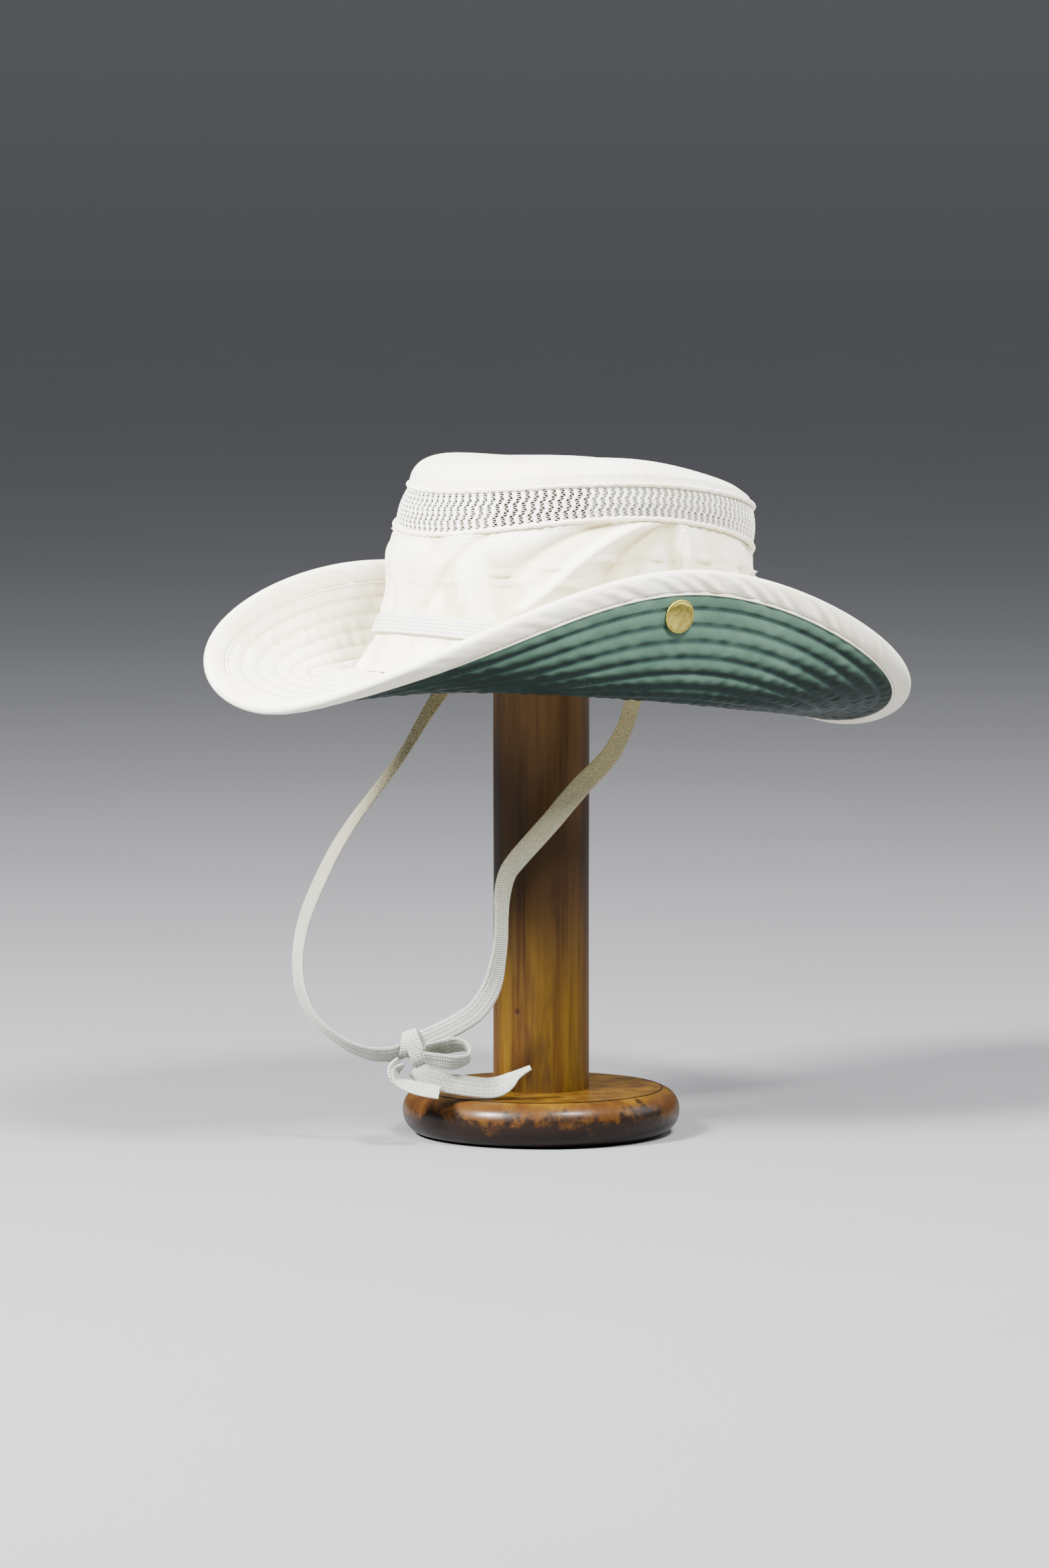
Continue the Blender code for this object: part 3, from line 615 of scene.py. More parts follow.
def strand(side, steps):
    centre, out, _, _ = eyelet_ways(side)
    starts = (centre - out * 0.3 * MM, centre - out * 4.5 * MM)
    path, wide, widths = hung((*CORD_ROUTES[side], KNOT_ENDS[side]), starts, steps, 0.5)
    return skin("chin_cord_" + side, strip_rings(path, wide, widths), COTTON_BRAID), path


def joined(name, parts):
    """One object from several, which are removed."""
    whole = bmesh.new()
    for part in parts:
        whole.from_mesh(part.data)
    mesh = bpy.data.meshes.new(name)
    whole.to_mesh(mesh)
    whole.free()
    finish = parts[0].data.materials[0]
    for part in parts:
        bpy.data.objects.remove(part)
    return placed(name, mesh, finish)


def knot_wrap(name, middle, lean, half_height, half_depth, width_share):
    """A turn of the braid round the bow's middle, in an upright loop that leans across the picture."""
    turn = 2.0 * np.pi * np.arange(72) / 72
    up, deep = (np.sign(wave) * np.abs(wave) ** 0.85 for wave in (np.cos(turn), np.sin(turn)))
    places = (middle[0] - lean * up, middle[1] - half_depth * deep, middle[2] + half_height * up)
    path = from_view(*places).T
    ahead = unit(np.roll(path, -1, axis=0) - np.roll(path, 1, axis=0))
    wide = unit(np.cross(ahead, unit(path - path.mean(axis=0))))
    return skin(name, strip_rings(path, wide, width_share, ahead), COTTON_BRAID, True)


def knot():
    """Two turns of braid and the lump of cord that they hold."""
    across, away, up = KNOT_MIDDLE
    half_width, half_depth, half_height = KNOT_HALVES
    share, turn = grid(np.linspace(-0.995, 0.995, 22), 2.0 * np.pi * np.arange(40) / 40)
    girth = (1.0 - share**2) ** 0.5
    across = across + (half_width + 0.5 * np.sin(3.0 * turn)) * girth * np.cos(turn) - 1.2 * share
    places = (across, away + half_depth * girth * np.sin(turn), up + half_height * share)
    parts = [
        skin("knot_core", np.moveaxis(from_view(*places), 0, -1), COTTON_BRAID),
        knot_wrap("knot_front", (-57.9, -44.0, 44.9), 2.7, 7.3, 4.7, 0.78),
        knot_wrap("knot_left", (-62.6, -44.2, 46.0), -0.6, 4.2, 3.9, 0.40),
    ]
    return joined("chin_cord_knot", parts)


def crown_band(steps=320):
    """The stretch round the front of the crown, which bends into an eyelet at each end."""
    share = np.linspace(0.0, 1.0, steps + 1)
    start, end = math.radians(EYELET_ANGLES["near"]), math.radians(EYELET_ANGLES["far"]) - 2.0 * math.pi
    angle = start + (end - start) * share
    point, level, upward = ways_on(bare_wall, angle, band_height(angle))
    out = unit(np.cross(level, upward))
    bunch = np.minimum(share, 1.0 - share) * 30.0
    off = BRAID_THICK / 2 + BAND_ROOM + np.maximum(0.0, 1.0 - bunch / 3.0) * 1.8 * MM
    keep = bunch > 0.6
    widths = np.minimum(1.0, 0.66 + bunch * 0.17)
    stretch = [(point + out * off[:, None])[keep], upward[keep], widths[keep]]
    bends = []
    for side, order in (("near", -1), ("far", 1)):
        centre, way_out, way_level, way_up = eyelet_ways(side)
        forward = way_level if way_level[1] < 0 else -way_level
        bend = [centre + way_out * a * MM + forward * b * MM for a, b in ((3.3, 1.6), (1.9, 0.3), (0.5, 0.0))]
        bend = smooth_way(bend, np.linspace(0.0, 1.0, 8))[::order]
        bends.append((bend, np.repeat(way_up[None], 8, axis=0), np.full(8, 0.61)))
    parts = zip(bends[0], stretch, bends[1])
    return skin("chin_cord_band", strip_rings(*(np.concatenate(part) for part in parts)), COTTON_BRAID)


near_strand, near_path = strand("near", 240)
far_strand, far_path = strand("far", 240)
cord_ends = {
    part: skin("chin_cord_" + part, strip_rings(*hung(CORD_ROUTES[part], (), steps, start, end)), COTTON_BRAID)
    for part, steps, start, end in (("bow", 90, 1.0, 1.0), ("tail_long", 80, 0.9, 0.42), ("tail_short", 60, 0.5, 0.9))
}
fold = skin("tail_fold", strip_rings(*hung(FOLD_ROUTE, (), 30)[:2], 0.6), COTTON_BRAID)
cord_ends["tail_short"] = joined("chin_cord_tail_short", [cord_ends["tail_short"], fold])
cord_ends["knot"] = knot()
for part, piece in {"near": near_strand, "far": far_strand, "band": crown_band(), **cord_ends}.items():
    fitted(piece, "cord", "cord_" + part)
for strand_piece, path, also in (
    (near_strand, near_path, {"with_pieces": list(cord_ends.values())}),
    (far_strand, far_path, {}),
):
    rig.cord(
        strand_piece,
        exit=path[0],
        length=float(way_gone(path)[-1]),
        diameter=BRAID_WIDTH,
        far_end="knot",
        stiffness="limp",
        lay="hanging",
        path=path,
        **also,
    )

# The stand's foot is a disc of pine turned with a round rim, stained and varnished amber. Its rim is rubbed, and it
# turns darker towards the bottom, in blotches.
WOOD_SIDES = 128
FOOT_GROOVE = 56.2 * MM
BASE_PROFILE = (
    (0.0, 0.0),
    (54.8, 0.0),
    (56.6, 0.35),
    (59.6, 1.5),
    (62.2, 3.9),
    (63.9, 7.0),
    (64.5, 10.5),
    (64.2, 13.6),
    (62.9, 16.6),
    (60.8, 18.9),
    (58.3, 20.3),
    (56.6, 20.75),
    (56.1, 20.55),
    (55.6, 20.8),
    (54.6, 21.0),
    (30.0, 20.9),
    (0.0, 20.9),
)


def turned(name, profile, finish, sides=WOOD_SIDES, centre=(0, 0, 0), axis=(0, 0, 1), across=(1, 0, 0), smooth=8):
    """A solid of revolution through (radius, height) points in millimetres that start and end on the axis."""
    centre, axis, across = (np.array(vector, float) for vector in (centre, axis, across))
    profile = np.array(profile)
    if smooth:
        inner = smooth_way(profile[1:-1], np.linspace(0.0, 1.0, (len(profile) - 2) * smooth))
        profile = np.concatenate((profile[:1], inner, profile[-1:]))
    beside = np.cross(axis, across)
    turn = 2.0 * np.pi * np.arange(sides) / sides
    out = across[None] * np.cos(turn)[:, None] + beside[None] * np.sin(turn)[:, None]
    rings = centre + MM * (profile[:, None, :1] * out[None] + profile[:, None, 1:] * axis)
    made = skin(name, rings[1:-1], finish)
    closed = bmesh.new()
    closed.from_mesh(made.data)
    bmesh.ops.poke(closed, faces=[face for face in closed.faces if len(face.verts) > 4])
    closed.to_mesh(made.data)
    closed.free()
    made.data.set_sharp_from_angle(angle=math.radians(35.0))
    return made


def grain(f, stretch, turn=(0.0, 0.0, 0.0)):
    """Long streaks of late wood along Z of the turned place, and finer pores among them."""
    spot = f.place((1.0, 1.0, stretch), turn)
    return f.noise(spot, 85.0, 5.0, 0.6), f.noise(spot, 420.0, 4.0, 0.6)


def foot_finish():
    f = Finish("turned and varnished pine foot")
    broad, fine = grain(f, 0.12, (0.0, math.pi / 2, math.radians(-35.0)))
    plain = f.place()
    z = f.add("SeparateXYZ", {"Vector": plain}, 2)
    streaks = f.between(f.plus(f.times(broad, 0.7), f.times(fine, 0.3)), 0.36, 0.62)
    amber = f.blend(streaks, (0.042, 0.017, 0.002), (0.095, 0.047, 0.003))
    cloud = f.noise(plain, 55.0, 5.0, 0.62)
    speck = f.noise(plain, 210.0, 4.0, 0.65)
    blotch = f.plus(f.times(cloud, 0.036), f.times(speck, 0.022))
    # The rim turns darker towards the bottom, in blotches, down to near-black.
    level = f.minus(z, blotch)
    darker_below = f.between(level, -0.0205, -0.0120, 1.0, 0.0)
    uneven = f.plus(z, f.times(f.minus(cloud, 0.5), 0.012))
    rim = f.between(uneven, 0.0185, 0.0208, 1.0, 0.0)
    reddish = f.blend(f.times(rim, 0.6), amber, (0.045, 0.015, 0.005))
    radius = f.add("VectorMath", {0: f.place((1.0, 1.0, 0.0))}, 1, operation="LENGTH")
    # Painted shade: the turned groove on the top face is darkened.
    groove = f.between(f.math("ABSOLUTE", f.minus(radius, FOOT_GROOVE)), 0.0002, 0.0009, 0.8, 0.0)
    groove = f.times(groove, f.between(z, 0.017, 0.020))
    dark = f.blend(f.math("MAXIMUM", f.times(darker_below, 0.95), groove), reddish, (0.006, 0.003, 0.002))
    return f.done(
        base_color=dark,
        roughness=f.between(cloud, 0.3, 0.7, 0.30, 0.46),
        specular_ior_level=0.12,
        coat_weight=0.14,
        coat_roughness=0.2,
        normal=f.bump(f.plus(broad, f.times(speck, 0.6)), 0.0005, 0.35),
    )


fitted(turned("stand_foot", BASE_PROFILE, foot_finish()), "wood", "stand_base")

# The post is a dowel glued into the foot, of the same pine. Its grain stands upright, with dark stains, one long
# drying crack and a small knot. Its varnish is amber near the foot and brown above, where a darker middle band
# is painted shade and a lighter top is painted light.
POST_RADIUS = 22.25
POST_FOOT = 21.05
POST_TOP = 311.6
CRACK_ASIDE = 8.2 * MM
PIN_KNOT = (-11.0 * MM, -19.3 * MM, 58.3 * MM)


def post_finish():
    f = Finish("varnished pine dowel")
    broad, fine = grain(f, 0.045)
    plain = f.place()
    z = f.add("SeparateXYZ", {"Vector": plain}, 2)
    seen = f.place((1.0, 1.0, 1.0), (0.0, 0.0, -VIEW_TURN))
    across = f.add("SeparateXYZ", {"Vector": seen})
    away = across.node.outputs[1]
    streaks = f.plus(f.times(broad, 0.65), f.times(fine, 0.35))
    # Tones by height: amber low down; the darker middle band is painted shade, and the lighter top is painted light.
    low = f.blend(f.between(streaks, 0.38, 0.60), (0.042, 0.015, 0.001), (0.088, 0.046, 0.002))
    bands = f.between(streaks, 0.38, 0.62)
    middle = f.blend(bands, (0.020, 0.009, 0.003), (0.044, 0.021, 0.006))
    high = f.blend(bands, (0.050, 0.024, 0.008), (0.110, 0.058, 0.019))
    wander = f.plus(z, f.times(f.noise(f.place((1.0, 1.0, 0.3)), 26.0, 4.0), 0.12))
    colour = f.blend(f.between(wander, 0.105, 0.185), low, middle)
    colour = f.blend(f.between(wander, 0.195, 0.250), colour, high)
    stain = f.between(f.noise(f.place((1.0, 1.0, 0.22)), 38.0, 5.0, 0.6), 0.52, 0.70)
    colour = f.blend(f.times(stain, 0.8), colour, (0.018, 0.006, 0.003))
    front = f.between(away, -0.004, 0.0, 1.0, 0.0)
    wobble = f.times(f.minus(f.noise(f.place((1.0, 1.0, 0.4)), 40.0), 0.5), 0.004)
    gap = f.math("ABSOLUTE", f.plus(f.plus(across, CRACK_ASIDE), wobble))
    reach = f.times(f.between(z, 0.066, 0.085), f.between(z, 0.150, 0.135))
    crack = f.times(f.times(f.between(gap, 0.0001, 0.0006, 1.0, 0.0), reach), front)
    far_off = f.add("VectorMath", {0: seen, 1: PIN_KNOT}, 1, operation="DISTANCE")
    pin_knot = f.between(far_off, 0.0007, 0.0021, 1.0, 0.0)
    mark = f.math("MAXIMUM", f.times(crack, 0.75), f.times(pin_knot, 0.9))
    colour = f.blend(mark, colour, (0.020, 0.006, 0.003))
    relief = f.minus(f.times(streaks, 0.8), mark)
    return f.done(
        base_color=colour,
        roughness=f.between(fine, 0.3, 0.7, 0.40, 0.55),
        specular_ior_level=0.14,
        normal=f.bump(relief, 0.0004, 0.4),
    )


POST_PROFILE = (
    (0.0, POST_FOOT),
    (POST_RADIUS - 0.4, POST_FOOT),
    (POST_RADIUS, POST_FOOT + 0.6),
    *((POST_RADIUS + 0.08 * math.sin(height / 23.0), height) for height in range(40, 300, 20)),
    (POST_RADIUS, POST_TOP - 1.6),
    (POST_RADIUS - 1.5, POST_TOP),
    (0.0, POST_TOP),
)
fitted(turned("stand_dowel", POST_PROFILE, post_finish(), smooth=4), "wood", "stand_post")

# The crown side is one strip of cream cotton duck, closed by a flat-felled seam on each side of the head. It is
# gathered a little where the cord lies, and sewn to the vent band over a piping with a row of stitches below.
FELL_ANGLES = ((95.5, 93.0), (264.5, 267.0))
FELL_WIDTH = 3.4
CROWN_RADIUS = 68.0
STITCHED_HEIGHT = 0.925

# Small folds of the crown side, in the columns of the main ones.
SMALL_FOLDS = (
    (44.0, 0.46, 83.0, 0.97, 3.0, 1.9),
    (38.0, 0.62, 72.0, 0.99, 7.0, -1.7),
    (66.0, 0.52, 87.0, 0.90, 4.0, -1.3),
    (74.0, 0.48, 90.0, 0.86, 5.0, -1.1),
    (100.0, 0.50, 96.5, 0.95, 2.2, 1.3),
    (104.5, 0.50, 99.5, 0.95, 3.4, -0.8),
    (353.0, 0.34, 8.0, 0.62, 3.4, 1.6),
    (8.0, 0.62, 358.0, 0.98, 3.6, 1.5),
    (2.0, 0.40, 17.0, 0.72, 4.0, -1.6),
    (17.0, 0.72, 30.0, 0.97, 4.5, -1.2),
    (18.0, 0.29, 20.5, 0.52, 1.7, 1.1),
    (23.5, 0.27, 22.5, 0.50, 1.9, -1.2),
    (29.0, 0.32, 25.0, 0.60, 2.8, 0.8),
    (36.0, 0.34, 31.0, 0.50, 3.0, -0.6),
    (357.0, 0.28, 0.5, 0.46, 1.8, 1.0),
    (3.0, 0.28, 5.0, 0.45, 2.0, -0.9),
    (128.0, 0.30, 118.0, 0.80, 4.0, 1.3),
    (146.0, 0.36, 138.0, 0.60, 6.0, -1.2),
    (172.0, 0.34, 181.0, 0.78, 4.0, -1.2),
    (186.0, 0.30, 197.0, 0.60, 4.0, 1.1),
    (222.0, 0.60, 206.0, 0.96, 4.5, 1.3),
    (236.0, 0.32, 222.0, 0.66, 5.0, -1.1),
    (249.0, 0.34, 260.0, 0.82, 3.0, 1.2),
    (288.0, 0.36, 276.0, 0.92, 4.0, -1.2),
    (301.0, 0.30, 312.0, 0.64, 3.5, 1.1),
    (330.0, 0.64, 317.0, 0.95, 4.5, -1.1),
    (341.0, 0.30, 336.0, 0.56, 2.6, 1.0),
)


def ripple(angle, turns, seed):
    """A sum of random waves round the hat, between about -1 and 1."""
    draw = np.random.default_rng(seed)
    phases = draw.uniform(0.0, 2.0 * np.pi, len(turns))
    return sum(np.sin(n * angle + phase) for n, phase in zip(turns, phases)) / len(turns) ** 0.5


def hump(value, middle, width):
    """1 where the value is at the middle, and falling smoothly to 0 past the width on both sides."""
    return np.exp(-(((value - middle) / width) ** 2))


def crown_relief(angle, height):
    """Folds, gathers and seam puckers of the crown side, in millimetres. It lies flat under the cord."""
    relief = 2.0 * fold_relief(SMALL_FOLDS, angle, height, 1.4, 0.035)
    pleats = ripple(angle + 0.10 * height, (31, 43, 52, 67), 3) * (0.55 + 0.45 * ripple(angle, (4, 7), 13))
    band = band_height(angle)
    front = np.clip(np.cos(angle) + 0.4, 0.0, 1.0)
    beside = hump(height, band + 0.10, 0.08) + hump(height, band - 0.12, 0.07)
    relief += 0.7 * pleats * beside * (0.3 + 0.7 * front)
    relief += 0.30 * ripple(angle, (83, 97, 120), 5) * hump(height, 0.965, 0.035)
    relief += 0.35 * ripple(angle, (71, 88, 103), 7) * hump(height, 0.0, 0.10)
    relief += 0.9 * ripple(angle + 0.9 * height, (5, 9, 14), 11) * ripple(angle - 1.4 * height, (3, 6), 17)
    relief += 1.25 * fold_relief(FOLDS, angle, height, fade=0.035)
    relief *= 1.0 - 0.9 * np.exp(-(((height - band) / 0.06) ** 4))
    relief -= 0.6 * hump(height, band, 0.11) * (0.25 + 0.75 * front)
    relief -= hump(height, 1.0, 0.035) + 0.35 * hump(height, STITCHED_HEIGHT, 0.018)
    for high_angle, low_angle in FELL_ANGLES:
        middle = np.radians(low_angle + (high_angle - low_angle) * height)
        aside = np.abs(((angle - middle + np.pi) % (2.0 * np.pi) - np.pi) * CROWN_RADIUS)
        relief += 0.5 / (1.0 + np.exp((aside - FELL_WIDTH / 2) * 5.0))
        relief -= 0.35 * hump(aside, FELL_WIDTH / 2 + 0.35, 0.4)
    return relief * np.minimum(1.0, height * 20.0)


def crown_hollow(angle, height):
    """How deep each place of the crown side lies among the folds beside it, from 0 to 1, which sets the painted shade
    of the cloth there.
    """
    beside = [crown_relief(angle + aside, height) for aside in (-0.16, -0.10, -0.05, 0.05, 0.10, 0.16)]
    return np.clip(sum(beside) / len(beside) - crown_relief(angle, height) - 0.05, 0.0, 1.0) * 0.85


def marked(piece, label, values):
    """Gives each point of the piece a number that its finish can read."""
    layer = piece.data.attributes.new(label, "FLOAT", "POINT")
    layer.data.foreach_set("value", np.asarray(values, np.float32).ravel())


def crown_face(angle, height):
    point = bare_wall(angle, height) + outwards(angle) * crown_relief(angle, height)[..., None] * MM
    lift = 2.0 * (1.0 - height) ** 6 - 0.5 * height**6
    return point + np.stack((np.zeros_like(lift), np.zeros_like(lift), lift * MM), axis=-1)


def duck_finish(name, light, shade):
    """Plain-woven cotton: fine threads both ways, a soft nap, and a warmer tone that drifts over the cloth.

    It takes a warm painted shade in its folds and along seams.
    """
    f = Finish(name)
    spot = f.place()
    drift = f.noise(spot, 38.0, 4.0, 0.55)
    colour = f.blend(f.between(drift, 0.38, 0.68), light, shade)
    # Painted shade: places that lie deep among folds and seams take a warm dark tint.
    painted_shade = f.add("Attribute", {}, 2, attribute_name="painted_shade")
    colour = f.blend(painted_shade, colour, (0.72, 0.65, 0.42))
    slub = f.noise(spot, 1500.0, 3.0, 0.6)
    colour = f.blend(f.times(f.between(slub, 0.35, 0.65, 1.0, 0.0), 0.12), colour, (0.70, 0.66, 0.50))
    threads = [
        f.add(
            "TexWave",
            {"Vector": f.place((1.0, 1.0, 1.0), (0.0, turn, 0.0)), "Scale": 620.0, "Distortion": 1.2, "Detail": 1.0},
            1,
            bands_direction="Z",
        )
        for turn in (0.0, math.pi / 2)
    ]
    weave = f.plus(f.times(f.plus(*threads), 0.35), slub)
    soft = f.bump(f.noise(spot, 160.0, 4.0, 0.6), 0.6 * MM, 0.35)
    relief = f.bump(weave, 0.1 * MM, 0.5, soft)
    return f.done(base_color=colour, roughness=0.88, sheen_weight=0.15, sheen_roughness=0.45, normal=relief)


COTTON_DUCK = duck_finish("cream cotton duck", (0.94, 0.91, 0.81), (0.91, 0.85, 0.64))


def turns_of(steps):
    return 2.0 * np.pi * np.arange(steps) / steps


def folded(outer, inner):
    """Rings that run up the outer face and down the inner one."""
    return np.concatenate((outer, inner[:, ::-1]), axis=1)


class Growth(Nodes):
    """A Geometry Nodes tree in the making, with named inputs of its own."""

    def __init__(self, name, sockets):
        super().__init__(bpy.data.node_groups.new(name, "GeometryNodeTree"))
        for label, kind in sockets.items():
            self.tree.interface.new_socket(label, in_out="INPUT", socket_type="NodeSocket" + kind)
        self.tree.interface.new_socket("Geometry", in_out="OUTPUT", socket_type="NodeSocketGeometry")
        self.given = self.tree.nodes.new("NodeGroupInput").outputs

    def grow(self, kind, inputs, output=0, **settings):
        return self.add(kind, inputs, output, "GeometryNode", **settings)

    def vector(self, x, y, z):
        return self.add("CombineXYZ", {0: x, 1: y, 2: z})

    def spread(self, inputs):
        """Sets a shape on points, and makes the copies real."""
        return self.grow("RealizeInstances", {"Geometry": self.grow("InstanceOnPoints", inputs)})

    def done(self, shapes, finish):
        dressed = self.grow("SetMaterial", {"Geometry": shapes, "Material": finish})
        self.fill(self.tree.nodes.new("NodeGroupOutput"), {0: dressed})
        return self.tree


def grown(start, tree, values):
    """The object after its Geometry Nodes tree has run with the named values, as a plain mesh."""
    growth = start.modifiers.new("growth", "NODES")
    growth.node_group = tree
    for socket in tree.interface.items_tree:
        if socket.in_out == "INPUT" and socket.name in values:
            growth[socket.identifier] = values[socket.name]
    seen = start.evaluated_get(bpy.context.evaluated_depsgraph_get())
    mesh = bpy.data.meshes.new_from_object(seen)
    start.modifiers.remove(growth)
    start.data = mesh
    return start


def stitch_tree():
    """Nodes that set one thread loop on each point, lying along its way and standing on its face."""
    sockets = {"Geometry": "Geometry", "Stitch length": "Float", "Thread thickness": "Float", "Thread": "Material"}
    g = Growth("machine stitches", sockets)
    thick = g.given["Thread thickness"]
    ball = g.grow("MeshUVSphere", {"Segments": 5, "Rings": 3, "Radius": 0.5})
    loop = g.grow("Transform", {"Geometry": ball, "Scale": g.vector(g.given["Stitch length"], thick, thick)})
    way, rise = (
        g.grow("InputNamedAttribute", {"Name": label}, "Attribute", data_type="FLOAT_VECTOR")
        for label in ("way", "rise")
    )
    turn = g.add("AxesToRotation", {0: way, 1: rise}, 0, "FunctionNode", primary_axis="X", secondary_axis="Z")
    stitches = g.spread({"Points": g.given["Geometry"], "Instance": loop, "Rotation": turn})
    return g.done(stitches, g.given["Thread"])


STITCH_TREE = stitch_tree()
STITCH_PITCH = 3.0 * MM
STITCH_LENGTH = 2.5 * MM
THREAD = 0.55 * MM


def sewn(name, seams, finish):
    """Rows of machine stitches. Each seam is a line of points and the face's outward direction at each."""
    spots, ways, rises = [], [], []
    for line, rise in seams:
        gone = way_gone(line)
        count = max(int(gone[-1] / STITCH_PITCH), 2)
        marks = (np.arange(count) + 0.5) / count * gone[-1]
        at, before, after, up = (
            np.stack([np.interp(np.clip(marks + shift, 0.0, gone[-1]), gone, rows[:, i]) for i in range(3)], axis=-1)
            for rows, shift in ((line, 0.0), (line, -STITCH_PITCH / 4), (line, STITCH_PITCH / 4), (rise, 0.0))
        )
        spots.append(at)
        ways.append(unit(after - before))
        rises.append(unit(up))
    mesh = bpy.data.meshes.new(name)
    mesh.from_pydata(np.concatenate(spots).tolist(), [], [])
    for attribute, values in (("way", ways), ("rise", rises)):
        layer = mesh.attributes.new(attribute, "FLOAT_VECTOR", "POINT")
        layer.data.foreach_set("vector", np.concatenate(values).astype(np.float32).ravel())
    values = {"Stitch length": STITCH_LENGTH, "Thread thickness": THREAD, "Thread": finish}
    return grown(placed(name, mesh), STITCH_TREE, values)


def thread_finish(name, colour):
    f = Finish(name)
    strands = f.noise(f.place(), 2600.0, 3.0, 0.6)
    dark = tuple(0.72 * part for part in colour)
    relief = f.bump(strands, 0.12 * MM, 0.6)
    return f.done(base_color=f.blend(strands, dark, colour), roughness=0.6, sheen_weight=0.3, normal=relief)


CREAM_THREAD = thread_finish("cream sewing thread", (0.88, 0.84, 0.70))


def seam_round(surface, share, steps=900):
    """The line round the hat at one share of a surface, with the face's outward directions."""
    angle = np.linspace(0.0, 2.0 * np.pi, steps + 1)
    point, level, upward = ways_on(surface, angle, np.full_like(angle, share))
    return point, unit(np.cross(level, upward))


def fell_lines():
    """Two rows of stitches down each felled seam."""
    height = np.linspace(0.03, 0.985, 60)
    for high_angle, low_angle in FELL_ANGLES:
        for aside in (-1.0, 1.0):
            shift = aside * math.degrees((FELL_WIDTH / 2 - 0.5) / CROWN_RADIUS)
            angle = np.radians(low_angle + shift + (high_angle - low_angle) * height)
            point, level, upward = ways_on(crown_face, angle, height)
            yield point, unit(np.cross(level, upward))


def crown_cloth(steps=576, rows=58):
    """The closed wall of cloth, marked with how much painted shade each place takes among the folds."""
    angle, height = grid(turns_of(steps), np.linspace(0.0, 1.0, rows))
    outer = crown_face(angle, height)
    made = skin("crown_cloth", folded(outer, outer - outwards(angle) * CLOTH), COTTON_DUCK, True)
    # How deep each place lies among the folds: the share of painted shade it takes.
    painted_shade = crown_hollow(angle, height)
    marked(made, "painted_shade", folded(painted_shade, painted_shade))
    return made


fitted(crown_cloth(), "cotton", "crown_side")
crown_seams = [seam_round(crown_face, STITCHED_HEIGHT), *fell_lines()]
fitted(sewn("crown_stitches", crown_seams, CREAM_THREAD), "cotton")

# The vent band is a warp-knitted net: upright wavy ribs of thick yarn, laced together by a finer zigzag that
# leaves pairs of slanting holes. It is made flat, rib by rib, and then bent round the top of the crown.
KNIT_COLUMNS, KNIT_PITCH = 122, 4.0 * MM
KNIT_ROWS, KNIT_ROW_PITCH = 9, 2.1 * MM
KNIT_BULGE = 1.4
LACE_RISE = 0.7 * MM


def knit_tree():
    """Nodes that set columns of one wavy rib and one zigzag lace side by side along X."""
    measures = ("Column pitch", "Row pitch", "Rib wave", "Rib radius", "Lace radius")
    sockets = {"Columns": "Int", "Rows": "Int", **dict.fromkeys(measures, "Float"), "Yarn": "Material"}
    g = Growth("warp knit", sockets)
    given = g.given
    height = g.times(given["Rows"], given["Row pitch"])
    upward = g.add("SeparateXYZ", {"Vector": g.grow("InputPosition", {})}, 2)
    row = g.math("DIVIDE", upward, given["Row pitch"])
    swing = g.times(g.math("SINE", g.times(row, 2.0 * math.pi / 3.0)), given["Rib wave"])

    def yarn(points_a_row, offset, swell, radius, sides):
        line = g.grow("CurvePrimitiveLine", {"End": g.vector(0.0, 0.0, height)})
        count = g.plus(g.times(given["Rows"], points_a_row), 1.0)
        line = g.grow("ResampleCurve", {"Curve": line, "Count": count})
        line = g.grow("SetPosition", {"Geometry": line, "Offset": offset})
        line = g.grow("SetCurveNormal", {"Curve": line})
        line = g.grow("SetCurveRadius", {"Curve": line, "Radius": swell})
        circle = g.grow("CurvePrimitiveCircle", {"Resolution": sides, "Radius": radius})
        inputs = {"Curve": line, "Profile Curve": circle, "Fill Caps": True, "Scale": g.grow("InputRadius", {})}
        return g.grow("CurveToMesh", inputs)

    loops = g.plus(1.0, g.times(g.math("SINE", g.times(row, 2.0 * math.pi)), 0.16))
    side = g.times(g.math("MODULO", g.grow("InputIndex", {}), 2.0), 0.74)
    reach = g.times(g.plus(side, 0.13), given["Column pitch"])
    both = g.tree.nodes.new("GeometryNodeJoinGeometry")
    for part in (
        yarn(4.0, g.vector(swing, 0.0, 0.0), loops, given["Rib radius"], 6),
        yarn(2.0, g.vector(g.plus(swing, reach), LACE_RISE, 0.0), 1.0, given["Lace radius"], 5),
    ):
        g.tree.links.new(part, both.inputs[0])
    line = g.grow("MeshLine", {"Count": given["Columns"], "Offset": g.vector(given["Column pitch"], 0.0, 0.0)})
    net = g.grow("SetShadeSmooth", {"Geometry": g.spread({"Points": line, "Instance": both.outputs[0]})})
    return g.done(net, given["Yarn"])


def vent_wall(angle, height):
    low, high = ring("mesh_seam", angle), ring("tip_seam", angle)
    bulge = KNIT_BULGE * np.sin(np.pi * np.clip(height, 0.0, 1.0)) * MM
    return low + (high - low) * height[..., None] + outwards(angle) * bulge[..., None]


def knit_finish():
    f = Finish("cream net yarn")
    fibre = f.noise(f.place(), 1400.0, 4.0, 0.6)
    drift = f.noise(f.place(), 60.0, 3.0)
    colour = f.blend(f.between(fibre, 0.3, 0.7), (0.80, 0.78, 0.70), (0.92, 0.91, 0.85))
    colour = f.blend(f.times(f.between(drift, 0.4, 0.7), 0.4), colour, (0.84, 0.79, 0.62))
    return f.done(base_color=colour, roughness=0.75, sheen_weight=0.2, normal=f.bump(fibre, 0.0002, 0.6))


